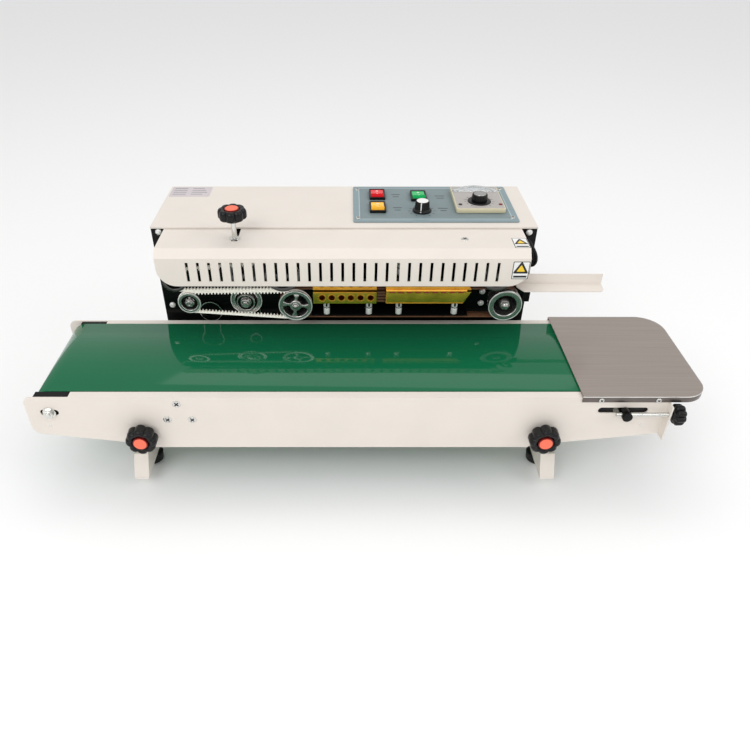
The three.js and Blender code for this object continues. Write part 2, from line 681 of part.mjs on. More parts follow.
// flip is true for the upper block, whose long side is at its bottom.
function heater(z, flip) {
  const { left, right, cut: slope } = HEATER;
  const top = z + BLOCKS.high;
  const shape = flip
    ? outline([[left, z], [right, z], [right - slope, top], [left, top]])
    : outline([[left, z], [right - slope, z], [right, top], [left, top]]);
  return prismY(shape, BLOCKS.frontY, BLOCKS.rearY);
}

place('cooler_lower', cooler(BLOCKS.lowerZ), 'chromate');
place('cooler_upper', cooler(BLOCKS.upperZ), 'chromate');
place('heater_lower', heater(BLOCKS.lowerZ, false), 'chromate');
place('heater_upper', heater(BLOCKS.upperZ, true), 'chromate');

// One back plate on the front panel carries a shelf and four spring posts for each pair of blocks.
function blockCarrier() {
  const { left, right, shelfY, lowZ, highZ, thick } = RAIL;
  const lowPost = [lowZ + 1, BLOCKS.lowerZ - GAP];
  const highPost = [BLOCKS.upperZ + BLOCKS.high + GAP, highZ + 1];
  const parts = [
    box(left, right, -3.3, -GAP, lowZ, highZ + thick),
    box(left, right, shelfY, -2, lowZ, lowZ + thick),
    box(left, right, shelfY, -2, highZ, highZ + thick),
  ];
  const { r, y } = POST;
  for (const x of POST.xs) {
    parts.push(barZ(r, ...lowPost, x, y, 8), barZ(r, ...highPost, x, y, 8));
  }
  return joined(parts);
}

place('block_carrier', blockCarrier(), 'black');

// ---------- wheels, belts and rollers ----------
const shaftBack = HEAD.panelThick + 2;

function spokeCuts(x, z, innerR, hubR) {
  const cuts = [];
  for (let i = 0; i < 4; i++) {
    const start = i * Math.PI / 2 + Math.PI / 4 + 0.2;
    const end = start + Math.PI / 2 - 0.4;
    const shape = new THREE.Shape();
    shape.absarc(x, z, innerR, start, end, false);
    shape.absarc(x, z, hubR, end + 0.15, start - 0.15, true);
    cuts.push(prismY(shape, -52, -10, 2));
  }
  return cuts;
}

// A front flange hides the belts' front edges. The guide belt's track is in front of the sealing belt's.
const guideTrackR = WHEEL.beltR - GUIDE_BELT.thick - GAP;
const sealTrackR = WHEEL.beltR - SEAL_BELT.thick - GAP;

function driveWheel(x, z) {
  const { frontY, backY } = FLANGE;
  const trackY = GUIDE_BELT.rearY + 0.2;
  const rearY = SEAL_BELT.rearY + 1;
  const shaftY = GEAR.backY + 3;
  const profile = [
    [0, -52], [4, -52], [6, -49], [8, -49], [8, -46], [16.8, -44], [16.8, frontY], [WHEEL.flangeR, frontY],
    [WHEEL.flangeR, backY], [guideTrackR, backY], [guideTrackR, trackY], [sealTrackR, trackY],
    [sealTrackR, rearY], [14, rearY], [SHAFT_R, -16], [SHAFT_R, shaftY], [0, shaftY],
  ];
  return cut(turnedY(profile, x, z, 16), spokeCuts(x, z, 16, 9));
}

function idlerWheel(x, z) {
  const { frontY } = FLANGE;
  const rearY = SEAL_BELT.rearY + 1;
  const profile = [
    [0, -51], [4, -51], [6.5, -48], [8, -42], [8, -35], [15, -35], [15.4, frontY],
    [WHEEL.flangeR - 1, frontY], [WHEEL.flangeR, frontY + 1], [WHEEL.flangeR, SEAL_BELT.frontY - 0.4],
    [sealTrackR, SEAL_BELT.frontY - 0.4], [sealTrackR, rearY], [13, rearY], [SHAFT_R, -22],
    [SHAFT_R, shaftBack], [0, shaftBack],
  ];
  return turnedY(profile, x, z, 16);
}

function guidePulley(x, z) {
  const { frontY, backY } = FLANGE;
  const flangeR = PULLEY.beltR - 0.2;
  const trackR = PULLEY.beltR - GUIDE_BELT.thick - GAP;
  const rearY = GUIDE_BELT.rearY + 2;
  const profile = [
    [0, -51], [4.5, -51], [7, -49], [7, -45], [10.5, -45], [11, frontY], [flangeR, frontY],
    [flangeR, backY], [trackR, backY], [trackR, rearY], [9, rearY], [SHAFT_R, -32],
    [SHAFT_R, shaftBack], [0, shaftBack],
  ];
  return turnedY(profile, x, z, 16);
}

function embossRoller(x, z) {
  const { r, bossR } = EMBOSS;
  const profile = [
    [0, -50], [4.5, -50], [4.5, -46], [bossR - 3, -46], [bossR, -44], [bossR, -38.2], [r, -38.2], [r, -22],
    [12, -22], [SHAFT_R, -16], [SHAFT_R, shaftBack], [0, shaftBack],
  ];
  return turnedY(profile, x, z, 16);
}

function gear(x, z, phase) {
  const { teeth, rootR, tipR, frontY, backY } = GEAR;
  const shape = new THREE.Shape();
  const pitch = 2 * Math.PI / teeth;
  for (let i = 0; i < teeth; i++) {
    const centre = phase + i * pitch;
    const flank = [[rootR, -0.27], [tipR, -0.1], [tipR, 0.1], [rootR, 0.27]];
    flank.forEach(([r, part], k) => {
      const angle = centre + part * pitch;
      const point = [x + r * Math.cos(angle), z + r * Math.sin(angle)];
      if (i === 0 && k === 0) shape.moveTo(...point);
      else shape.lineTo(...point);
    });
  }
  return prismY(shape, frontY, backY).subtract(barY(SHAFT_R + GAP, frontY - 1, backY + 1, x, z, 16));
}

// A lower gear's tooth points along the line of centres, where the upper gear has a gap.
const meshLine = Math.atan2(WHEEL.rise, WHEEL.shift);
const gearPhase = { lower: meshLine, upper: meshLine + Math.PI + Math.PI / GEAR.teeth };

for (const [name, at] of Object.entries(centres)) {
  const round = ([x, z], r) => ({ x, z, r });
  const drive = round(at.drive, WHEEL.beltR);
  const idler = round(at.idler, WHEEL.beltR);
  const guide = round(at.pulley, PULLEY.beltR);
  place(`drive_wheel_${name}`, driveWheel(...at.drive), 'steel');
  place(`idler_wheel_${name}`, idlerWheel(...at.idler), 'steel');
  place(`guide_pulley_${name}`, guidePulley(...at.pulley), 'steel');
  place(`emboss_roller_${name}`, embossRoller(...at.emboss), 'steel');
  place(`gear_${name}`, gear(...at.drive, gearPhase[name]), 'steel');
  place(`sealing_belt_${name}`,
    beltLoop(idler, drive, SEAL_BELT.thick, SEAL_BELT.frontY, SEAL_BELT.rearY), 'brown');
  place(`guide_belt_${name}`,
    beltLoop(drive, guide, GUIDE_BELT.thick, GUIDE_BELT.frontY, GUIDE_BELT.rearY), 'cream');
}

// ---------- pressure adjuster ----------
function pressureKnob() {
  const { x, y, stemR, stemLow, knobLow, knobHigh, gripHigh } = PRESSURE;
  const bossHigh = knobHigh - knobLow - gripHigh - 1;
  const star = starKnob({ radius: 18.3, high: gripHigh, bossHigh, capR: 8.5, capHigh: 1 });
  return joined([star.translate([x, y, knobLow]), barZ(stemR, stemLow, knobLow + 1, x, y, 12)]);
}

function pressureShoe() {
  const { x, y, stemLow } = PRESSURE;
  return barZ(5.5, stemLow - GAP - 3.6, stemLow - GAP, x, y, 12);
}

place('pressure_knob', pressureKnob(), 'knob');
place('pressure_shoe', pressureShoe(), 'steel');

// ---------- inside the head ----------
function driveMotor() {
  const [x, z] = centres.lower.drive;
  const posts = [[30, 30], [30, -30], [-30, -30]].map(
    ([dx, dz]) => barY(4, HEAD.panelThick + GAP, 27, x + dx, z + dz, 8));
  return joined([
    box(x - 35, x + 35, 24, 54, z - 35, z + 35),
    barY(29, 53, 124, x, z, 16),
    ...posts,
  ]);
}

place('drive_motor', driveMotor(), 'black');

const FAN = { x: 40, y0: 30, y1: 56, z: 226, half: 40, hubR: 15 };

function coolingFan() {
  const { x, y0, y1, z, half } = FAN;
  const frame = box(x - half, x + half, y0, y1, z - half, z + half);
  const bore = barY(half - 3, y0 - 1, y1 + 1, x, z);
  const cross = joined([
    box(x - half, x + half, y1 - 4, y1, z - 3, z + 3),
    box(x - 3, x + 3, y1 - 4, y1, z - half, z + half),
    barY(FAN.hubR, y1 - 4, y1, x, z),
  ]);
  const posts = [[1, 1], [1, -1], [-1, -1], [-1, 1]].map(
    ([a, b]) => barY(3, HEAD.panelThick + GAP, y0 + 1, x + a * (half - 4), z + b * (half - 4), 8));
  return joined([frame.subtract(bore), cross, ...posts]);
}

function fanRotor() {
  const { x, y0, y1, z, half, hubR } = FAN;
  const blades = [];
  for (let i = 0; i < 5; i++) {
    const blade = box(hubR - 2, half - 5, -1, 1, -7, 7).rotate([45, 0, 0]).rotate([0, i * 72, 0]);
    blades.push(blade.translate([x, (y0 + y1) / 2 - 2, z]));
  }
  return joined([barY(hubR, y0 + 2, y1 - 4.3, x, z, 16), ...blades]);
}

place('cooling_fan', coolingFan(), 'knob');
place('fan_rotor', fanRotor(), 'knob');

// The lead leaves the front panel beside the guard, loops forward and goes back in lower down.
function heaterLead() {
  const route = [
    [211, -GAP, 279], [212, -14, 280.5], [214.5, -28, 278], [217.8, -37, 271.5], [218.8, -39, 264],
    [217.5, -35, 256], [214.5, -25, 250.5], [212, -13, 248.5], [211, -GAP, 248.5],
  ];
  const curve = new THREE.CatmullRomCurve3(route.map((p) => new THREE.Vector3(...p)));
  const circle = new THREE.Shape();
  circle.absarc(0, 0, 2, 0, 2 * Math.PI, false);
  const settings = { steps: 20, curveSegments: 4, extrudePath: curve, bevelEnabled: false };
  return solid(new THREE.ExtrudeGeometry(circle, settings));
}

place('heater_lead', heaterLead(), 'rubber');

// ---------- origin at the bottom centre of the machine's box ----------
const extent = new THREE.Box3().setFromObject(machine);
const middle = extent.getCenter(new THREE.Vector3());
machine.position.set(-middle.x, -middle.y, -extent.min.z);
machine.updateMatrixWorld(true);

export default machine;
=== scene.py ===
"""Looks of the continuous band sealer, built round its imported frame.

Lengths are in millimetres. Y = 0 is the front face of the head's front panel, Z = 0 the table,
+X the infeed end and +Y the back. TO_ROW turns these into the row frame's metres.
"""
import math

import bmesh
import bpy
from mathutils import Matrix, Vector


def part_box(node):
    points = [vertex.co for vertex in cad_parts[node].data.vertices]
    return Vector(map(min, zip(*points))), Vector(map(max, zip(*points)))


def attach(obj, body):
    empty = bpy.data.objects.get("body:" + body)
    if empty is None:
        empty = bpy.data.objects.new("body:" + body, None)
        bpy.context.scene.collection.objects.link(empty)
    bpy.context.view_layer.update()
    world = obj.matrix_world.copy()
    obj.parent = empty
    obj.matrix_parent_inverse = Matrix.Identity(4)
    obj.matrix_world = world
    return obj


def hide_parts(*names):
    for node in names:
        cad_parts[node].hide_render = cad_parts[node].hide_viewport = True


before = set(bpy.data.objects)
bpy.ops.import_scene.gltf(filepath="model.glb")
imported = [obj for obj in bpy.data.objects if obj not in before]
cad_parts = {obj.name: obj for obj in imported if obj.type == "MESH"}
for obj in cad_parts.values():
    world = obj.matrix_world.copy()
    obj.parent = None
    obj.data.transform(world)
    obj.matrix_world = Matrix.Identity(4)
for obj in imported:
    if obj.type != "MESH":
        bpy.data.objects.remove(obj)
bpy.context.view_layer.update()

# The head cover's left front corner, which places the whole machine in the row frame.
COVER_LEFT, COVER_FRONT = -288, -2
COVER_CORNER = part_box("head_cover")[0] * 1000
COVER_SHIFT = (COVER_CORNER.x - COVER_LEFT, COVER_CORNER.y - COVER_FRONT, 0)
TO_ROW = Matrix.Scale(0.001, 4) @ Matrix.Translation(COVER_SHIFT)
TURN = 2 * math.pi
# Places on the machine: the camera, and the fasteners and holes that the frame does not tell.
CAMERA_PLACE, CAMERA_PITCH = (-25, -828, 671), 36.93
CONVEYOR_BOLTS = ((-237.5, 145), (-252.5, 120), (-221.3, 120))
CONVEYOR_RIVETS = ((-402, 110), (342.5, 112))
END_PLATE_SCREWS_X, END_PLATE_SCREWS_Z = (284, 354), 152.5
HEIGHT_KNOBS = {"left": -285.5, "right": 220.8}
PANEL_SCREWS = ((162.9, 196.2), (162.8, 177.6), (-276.8, 174.5), (-277.9, 286.7), (214.7, 286.1))
PANEL_BOSSES = ((-222.6, 165.3, 16.2), (-225, 138, 12), (-160, 165, 9))
GUARD_SCREW = (124, -33)
CONTROL_PLATE_SCREWS = ((-12.6, 121.5), (-12.7, 21.4), (195.2, 122.6), (195.6, 22.3))
SPEED_KNOB = (75.2, 45)
COOLING_HOLES = (-61, -48, -35, -22.5, -9.5, 4)
SPRING_POSTS, SPRING_POSTS_Y = (-55.4, 2.3, 42.9, 118.8), -38


def span(node):
    """A CAD node's lowest and highest corner in millimetres, in the machine's own place."""
    back = TO_ROW.inverted()
    return [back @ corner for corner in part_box(node)]


def on_axis(node, axis):
    """A CAD node's centre, with 0 along the axis that the node is turned round."""
    low, high = span(node)
    return [0 if name == axis else (a + b) / 2 for name, a, b in zip("xyz", low, high)]


def add_object(name, data):
    obj = bpy.data.objects.new(name, data)
    bpy.context.scene.collection.objects.link(obj)
    return obj


def set_inputs(node, **values):
    for socket, value in values.items():
        node.inputs[socket.replace("_", " ")].default_value = value


# ---------- camera, light and floor ----------
def make_camera():
    data = bpy.data.cameras.new("camera")
    data.sensor_width = 36
    data.lens = 32.25
    data.shift_x = 0.0347
    data.clip_end = 50
    camera = add_object("camera", data)
    camera.location = TO_ROW @ Vector(CAMERA_PLACE)
    camera.rotation_euler = (math.radians(90 - CAMERA_PITCH), 0, 0)
    bpy.context.scene.camera = camera


def area_light(name, place, target, size, power):
    data = bpy.data.lights.new(name, "AREA")
    data.shape = "RECTANGLE"
    data.size, data.size_y = size
    data.energy = power
    lamp = add_object(name, data)
    lamp.location = Vector(place)
    lamp.rotation_euler = (Vector(target) - Vector(place)).to_track_quat("-Z", "Y").to_euler()


def make_sky():
    """A soft sky, dimmer towards the horizon, so that metal has something to reflect."""
    world = bpy.data.worlds.new("studio")
    world.use_nodes = True
    nodes, links = world.node_tree.nodes, world.node_tree.links
    place = nodes.new("ShaderNodeTexCoord")
    split = nodes.new("ShaderNodeSeparateXYZ")
    ramp = nodes.new("ShaderNodeValToRGB")
    links.new(place.outputs["Generated"], split.inputs["Vector"])
    links.new(split.outputs["Z"], ramp.inputs["Fac"])
    links.new(ramp.outputs["Color"], nodes["Background"].inputs["Color"])
    for element, position, grey in zip(ramp.color_ramp.elements, (0.0, 0.55), (0.56, 0.86)):
        element.position, element.color = position, (grey, grey, grey, 1)
    set_inputs(nodes["Background"], Strength=0.95)
    bpy.context.scene.world = world


def make_studio():
    make_sky()
    scene = bpy.context.scene
    scene.view_settings.view_transform = "Standard"
    scene.view_settings.look = "None"
    area_light("key", (-1.0, -1.9, 1.9), (0, 0, 0.1), (1.6, 1.2), 22)
    area_light("fill", (1.8, -0.8, 1.5), (0, 0, 0.1), (1.2, 1.2), 8)
    area_light("top", (0.1, 0.7, 2.4), (0, 0, 0.2), (2.0, 0.8), 6)
    mesh = bpy.data.meshes.new("floor")
    reach = 12
    mesh.from_pydata([(-reach, -reach, 0), (reach, -reach, 0), (reach, reach, 0), (-reach, reach, 0)],
                     [], [(0, 1, 2, 3)])
    paper = finish((0.93, 0.93, 0.93), 0.8, mottle=0.0, bump=0.0)
    paper.name = "floor_paper"
    mesh.materials.append(paper)
    floor = add_object("floor", mesh)


# ---------- materials ----------
def finish(color, rough, metal=0.0, mottle=0.04, mottle_scale=60.0, rough_spread=0.05,
           grain_scale=700.0, bump=0.05, bump_depth=0.0002, stretch=(1, 1, 1), **sockets):
    """A surface whose colour, roughness and height vary a little, as a real finish does."""
    material = bpy.data.materials.new("finish")
    material.use_nodes = True
    nodes, links = material.node_tree.nodes, material.node_tree.links
    shader = nodes["Principled BSDF"]
    set_inputs(shader, Metallic=metal, **sockets)
    place = nodes.new("ShaderNodeTexCoord")
    mapping = nodes.new("ShaderNodeMapping")
    set_inputs(mapping, Scale=stretch)
    links.new(place.outputs["Object"], mapping.inputs["Vector"])

    def noise(scale, detail):
        node = nodes.new("ShaderNodeTexNoise")
        set_inputs(node, Scale=scale, Detail=detail)
        links.new(mapping.outputs["Vector"], node.inputs["Vector"])
        return node

    if mottle:
        ramp = nodes.new("ShaderNodeValToRGB")
        ramp.color_ramp.elements[0].position = 0.3
        ramp.color_ramp.elements[1].position = 0.7
        for element, shade in zip(ramp.color_ramp.elements, (1 - mottle, 1 + mottle)):
            element.color = (*[min(1, c * shade) for c in color], 1)
        links.new(noise(mottle_scale, 4).outputs["Fac"], ramp.inputs["Fac"])
        links.new(ramp.outputs["Color"], shader.inputs["Base Color"])
        spread = nodes.new("ShaderNodeMapRange")
        set_inputs(spread, To_Min=max(0.02, rough - rough_spread), To_Max=min(1, rough + rough_spread))
        links.new(noise(mottle_scale * 2.3, 6).outputs["Fac"], spread.inputs["Value"])
        links.new(spread.outputs["Result"], shader.inputs["Roughness"])
    else:
        set_inputs(shader, Base_Color=(*color, 1), Roughness=rough)
    if bump:
        height = nodes.new("ShaderNodeBump")
        set_inputs(height, Strength=bump, Distance=bump_depth)
        links.new(noise(grain_scale, 3).outputs["Fac"], height.inputs["Height"])
        links.new(height.outputs["Normal"], shader.inputs["Normal"])
    return material


MATERIALS = {
    "beige_paint": finish((0.77, 0.71, 0.645), 0.42, mottle=0.02, mottle_scale=20, bump=0.12,
                          grain_scale=900),
    "black_paint": finish((0.003, 0.003, 0.0032), 0.2, mottle=0.2, bump=0.04, mottle_scale=9,
                          Specular_IOR_Level=0.16),
    # The green belt's faint green emission is a painted glow that lifts the belt where the head shades it.
    "green_belt": finish((0.005, 0.105, 0.043), 0.07, mottle_scale=6, rough_spread=0.02,
                         grain_scale=9, bump=0.12, bump_depth=0.001, Specular_IOR_Level=0.32,
                         Emission_Color=(0.06, 1, 0.45, 1), Emission_Strength=0.028),
    "stainless": finish((0.42, 0.365, 0.33), 0.34, metal=1, mottle=0.06, mottle_scale=40,
                        grain_scale=60, bump=0.06, stretch=(0.15, 12, 12)),
    "polished_steel": finish((0.46, 0.45, 0.435), 0.15, metal=0.95, mottle=0.05, bump=0.03),
    "plated_screw": finish((0.70, 0.70, 0.67), 0.22, metal=1, mottle=0.06, mottle_scale=90),
    "sealing_belt": finish((0.15, 0.07, 0.035), 0.38, mottle=0.15, mottle_scale=70, bump=0.2),
    # The guide belts' faint emission is a painted glow that brightens their teeth in the guard's shade.
    "guide_belt": finish((0.95, 0.92, 0.84), 0.6, mottle=0.03, mottle_scale=80, bump=0.15,
                         Emission_Color=(1, 0.96, 0.87, 1), Emission_Strength=0.12),
    "chromate_metal": finish((0.56, 0.42, 0.05), 0.22, metal=1, mottle=0.2, mottle_scale=45, bump=0.05),
    "rubber": finish((0.004, 0.004, 0.0045), 0.5, mottle=0.2, bump=0.25, Specular_IOR_Level=0.3),
    "black_plastic": finish((0.003, 0.003, 0.0033), 0.3, mottle=0.12, mottle_scale=90,
                            bump=0.2, grain_scale=1400, Specular_IOR_Level=0.3),
    "control_plate": finish((0.24, 0.32, 0.345), 0.45, metal=0.1, mottle=0.03,
                            mottle_scale=30, bump=0.08, grain_scale=1500),
    # The rocker switch plastics' emission is a painted glow on the keys.
    "red_plastic": finish((0.72, 0.015, 0.02), 0.2, mottle=0.06, mottle_scale=120,
                          Emission_Color=(0.8, 0.02, 0.03, 1), Emission_Strength=0.2),
    "amber_plastic": finish((0.95, 0.50, 0.045), 0.2, mottle=0.06, mottle_scale=120,
                            Emission_Color=(1, 0.42, 0.03, 1), Emission_Strength=0.25),
    "green_plastic": finish((0.01, 0.42, 0.11), 0.2, mottle=0.06, mottle_scale=120,
                            Emission_Color=(0.01, 0.5, 0.12, 1), Emission_Strength=0.2),
    "controller_plastic": finish((0.66, 0.60, 0.41), 0.3, mottle=0.02),
    "knob_cap": finish((1.0, 0.17, 0.09), 0.4, mottle=0.03, mottle_scale=150, bump=0.1),
    "label": finish((0.60, 0.545, 0.565), 0.35, mottle=0.03),
}
# Looks of small pieces that share a slot of the part with something else.
EXTRA = {
    "ink": finish((0.012, 0.012, 0.012), 0.5, mottle=0.1),
    "white_print": finish((0.85, 0.85, 0.83), 0.45, mottle=0.02),
    "sign_yellow": finish((0.90, 0.60, 0.03), 0.4, mottle=0.03),
    "dial_face": finish((0.44, 0.41, 0.385), 0.4, mottle=0.03),
    "plate_field": finish((0.195, 0.25, 0.262), 0.5, mottle=0.03, mottle_scale=30),
    "plate_line": finish((0.42, 0.52, 0.54), 0.45, mottle=0.02, mottle_scale=30),
    "grey_print": finish((0.06, 0.075, 0.08), 0.5, mottle=0.05),
    "copper_plate": finish((0.13, 0.06, 0.03), 0.4, metal=0.5, mottle=0.2),
    "dark_red": finish((0.20, 0.01, 0.008), 0.3, mottle=0.05, mottle_scale=90),
    "dial_black": finish((0.02, 0.02, 0.022), 0.3, mottle=0.1),
    "clear_window": finish((0.92, 0.94, 0.95), 0.06, mottle=0.0, bump=0.0,
                           Transmission_Weight=0.95, IOR=1.2),
    # A lighter copy of the chromate: painted highlight on the blocks' edges, flange, frame and hole rims, and
    # on the upper blocks.
    "painted_highlight_gold": finish((0.96, 0.44, 0.055), 0.2, metal=0.75, mottle=0.15),
    # A darker copy of the wheel steel: painted shade for the upper wheels under the guard.
    "painted_shade_steel": finish((0.09, 0.09, 0.088), 0.22, metal=1, mottle=0.08),
    "spring_steel": finish((0.86, 0.85, 0.83), 0.2, metal=0.35, mottle=0.06, mottle_scale=90),
    # A darker copy of the stainless: painted shade on the end plate's turned-down edge.
    "plate_lip_painted_shade": finish((0.15, 0.13, 0.12), 0.3, metal=0.8, mottle=0.08),
    # A bright look painted as a highlight on the plate's fold and the lower wheels' front edges.
    "painted_highlight_edge": finish((0.82, 0.82, 0.80), 0.15, metal=0.6, mottle=0.05),
    # Near-black: painted shade in the screw recesses.
    "recess_painted_shade": finish((0.02, 0.02, 0.02), 0.6, mottle=0.1, mottle_scale=90),
}
for key, made in (*MATERIALS.items(), *EXTRA.items()):
    made.name = key


# ---------- meshes ----------
def smooth(mesh, angle):
    mesh.polygons.foreach_set("use_smooth", [True] * len(mesh.polygons))
    mesh.set_sharp_from_angle(angle=math.radians(angle))


def piece(name, mesh, slot, body="root", replaced=(), look=None, bevel=0.0, angle=32):
    """A finished piece: its material, rounded edges, the body it rides on and what it stands for."""
    mesh.transform(TO_ROW)
    obj = add_object(name, mesh)
    mesh.materials.clear()
    mesh.materials.append(EXTRA[look] if look else MATERIALS[slot])
    smooth(mesh, angle)
    if bevel:
        edge = obj.modifiers.new("edges", "BEVEL")
        edge.width = bevel / 1000
        edge.segments = 3
        edge.limit_method = "ANGLE"
        edge.angle_limit = math.radians(30)
        edge.harden_normals = True
    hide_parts(*replaced)
    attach(obj, body)


def to_mesh(form):
    mesh = bpy.data.meshes.new("piece")
    form.to_mesh(mesh)
    form.free()
    return mesh


def from_bmesh(form):
    bmesh.ops.remove_doubles(form, verts=form.verts, dist=0.0005)
    bmesh.ops.recalc_face_normals(form, faces=form.faces)
    return to_mesh(form)


def merged(meshes):
    """Several meshes as one."""
    form = bmesh.new()
    for mesh in meshes:
        form.from_mesh(mesh)
    return to_mesh(form)


def cad_copy(node):
    """A CAD node's own shape in millimetres, its flat faces made whole again so that edges can be rounded."""
    form = bmesh.new()
    form.from_mesh(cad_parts[node].data)
    bmesh.ops.transform(form, matrix=TO_ROW.inverted(), verts=form.verts)
    bmesh.ops.remove_doubles(form, verts=form.verts, dist=0.001)
    bmesh.ops.dissolve_limit(form, angle_limit=math.radians(1), verts=form.verts, edges=form.edges)
    return from_bmesh(form)


def keep_cad(node, slot, body, bevel):
    piece(node + "_shell", cad_copy(node), slot, body, [node], bevel=bevel)


AXES = {
    "x": lambda a, b, t: (t, a, b),
    "y": lambda a, b, t: (a, t, b),
    "z": lambda a, b, t: (a, b, t),
}


def rounded(profile, radius, steps=3):
    """The profile with its inner corners rounded."""
    points = [Vector(p) for p in profile]
    out = [points[0]]
    for before, corner, after in zip(points, points[1:], points[2:]):
        into, away = before - corner, after - corner
        reach = min(radius, into.length * 0.45, away.length * 0.45)
        if reach < 0.02:
            out.append(corner)
            continue
        start, end = corner + into.normalized() * reach, corner + away.normalized() * reach
        for i in range(steps + 1):
            t = i / steps
            out.append(start * (1 - t) ** 2 + corner * 2 * t * (1 - t) + end * t * t)
    return out + [points[-1]]


def turned(profile, axis, at=(0, 0, 0), steps=48, shape=None, round_by=0.4):
    """A profile of (radius, distance) turned round an axis. shape(angle, radius) may change the radius."""
    form = bmesh.new()
    put = AXES[axis]
    rings = []
    for r, t in rounded(profile, round_by):
        if r < 1e-5:
            rings.append([form.verts.new(Vector(put(0, 0, t)) + Vector(at))])
            continue
        ring = []
        for i in range(steps):
            angle = TURN * i / steps
            radius = shape(angle, r) if shape else r
            flat = put(radius * math.cos(angle), radius * math.sin(angle), t)
            ring.append(form.verts.new(Vector(flat) + Vector(at)))
        rings.append(ring)
    for low, high in zip(rings, rings[1:]):
        for i in range(steps):
            j = (i + 1) % steps
            corners = [low[i % len(low)], low[j % len(low)], high[j % len(high)], high[i % len(high)]]
            corners = list(dict.fromkeys(corners))
            if len(corners) > 2:
                form.faces.new(corners)
    return from_bmesh(form)


def rod(r, low, high):
    """The profile of a plain cylinder."""
    return [(0, low), (r, low), (r, high), (0, high)]


def tube(inner, outer, low, high):
    """The closed profile of a ring with a square section."""
    return [(inner, low), (outer, low), (outer, high), (inner, high), (inner, low)]


def arc(cx, cy, r, start, end, steps=8):
    """Points of an arc, with angles in degrees."""
    return [(cx + r * math.cos(math.radians(start + (end - start) * i / steps)),
             cy + r * math.sin(math.radians(start + (end - start) * i / steps))) for i in range(steps + 1)]


def box_outline(x0, x1, y0, y1, r, steps=5):
    return (arc(x1 - r, y0 + r, r, -90, 0, steps) + arc(x1 - r, y1 - r, r, 0, 90, steps)
            + arc(x0 + r, y1 - r, r, 90, 180, steps) + arc(x0 + r, y0 + r, r, 180, 270, steps))


def circle(cx, cy, r, steps=24):
    return arc(cx, cy, r, 0, 360 - 360 / steps, steps - 1)


def cut_sheet(outlines, low, high, plane, edge=0.2):
    """A flat piece with rounded edges. The first outline is its rim and the others are its holes."""
    curve = bpy.data.curves.new("cut", "CURVE")
    curve.dimensions = "2D"
    curve.fill_mode = "BOTH"
    curve.extrude = (high - low) / 2 - edge
    curve.bevel_depth = edge
    curve.bevel_resolution = 1
    curve.offset = -edge
    for points in outlines:
        spline = curve.splines.new("POLY")
        spline.points.add(len(points) - 1)
        spline.points.foreach_set("co", [c for p in points for c in (p[0], p[1], 0, 1)])
        spline.use_cyclic_u = True
    obj = add_object("cut", curve)
    bpy.context.view_layer.update()
    mesh = bpy.data.meshes.new_from_object(obj.evaluated_get(bpy.context.evaluated_depsgraph_get()))
    bpy.data.objects.remove(obj)
    bpy.data.curves.remove(curve)
    form = bmesh.new()
    form.from_mesh(mesh)
    middle = (low + high) / 2
    put = AXES[plane]
    for vert in form.verts:
        a, b, t = vert.co
        vert.co = put(a, b, t + middle)
    bpy.data.meshes.remove(mesh)
    return from_bmesh(form)


def layer_on(z, outlines, thick=0.1, edge=0.03):
    """A thin printed or glued layer on a level surface."""
    return cut_sheet(outlines, z, z + thick, "z", edge)


def block(x0, x1, y0, y1, z0, z1):
    form = bmesh.new()
    size = Vector((x1 - x0, y1 - y0, z1 - z0))
    middle = Vector((x0 + x1, y0 + y1, z0 + z1)) / 2
    bmesh.ops.create_cube(form, size=1, matrix=Matrix.Translation(middle) @ Matrix.Diagonal((*size, 1)))
    return from_bmesh(form)


def moved(mesh, *matrices):
    for matrix in matrices:
        mesh.transform(matrix)
    return mesh


# ---------- fasteners ----------
def cross_outline(r):
    """A cross recess as an outline round the origin."""
    reach, half = r * 0.62, r * 0.16
    points = []
    for k in range(4):
        turn = Matrix.Rotation(k * TURN / 4 + TURN / 8, 2)
        points += [turn @ Vector(p) for p in ((half, half), (reach, half), (reach, -half))]
    return sorted(points, key=lambda p: math.atan2(p.y, p.x))


def aimed(mesh, x, y, z, facing):
    """Turns a mesh that stands on z = 0 to face along an axis such as '-y', and puts it in place."""
    turns = {"-y": (90, "X"), "z": (0, "X"), "y": (-90, "X"), "x": (90, "Y"), "-x": (-90, "Y")}
    degrees, axis = turns[facing]
    return moved(mesh, Matrix.Rotation(math.radians(degrees), 4, axis), Matrix.Translation((x, y, z)))


def cross_screw(x, y, z, facing, r=4.0, high=1.8):
    """A pan head with a cross recess, standing on the point."""
    top = cut_sheet([circle(0, 0, r * 0.86), cross_outline(r)], high * 0.5, high, "z", r * 0.06)
    profile = [(0, 0), (r, 0), (r, high * 0.35), (r * 0.88, high * 0.62), (0, high * 0.5)]
    skirt = turned(profile, "z", round_by=r * 0.1)
    return aimed(merged([top, skirt]), x, y, z, facing)


def screws(name, body, places):
    """A group of cross screws, each as the arguments of cross_screw, with a dark disc in each recess as
    painted shade.
    """
    heads, shade_discs = [], []
    for x, y, z, facing, r, high in places:
        heads.append(cross_screw(x, y, z, facing, r, high))
        floor = cut_sheet([circle(0, 0, r * 0.66)], high * 0.56, high * 0.6, "z", high * 0.01)
        shade_discs.append(aimed(floor, x, y, z, facing))
    piece(name, merged(heads), "plated_screw", body)
    piece(name + "_recess_shade", merged(shade_discs), "plated_screw", body, look="recess_painted_shade")


def hexagon(r, low, high, axis, at):
    """A hexagonal nut or bolt head with its corners chamfered."""
    def side(angle, radius):
        return radius * math.cos(math.pi / 6) / math.cos((angle % (math.pi / 3)) - math.pi / 6)

    chamfer = (high - low) * 0.18
    profile = [(0, low), (r, low), (r, high - chamfer), (r * 0.9, high), (0, high)]
    return turned(profile, axis, at, shape=side, round_by=0.15)


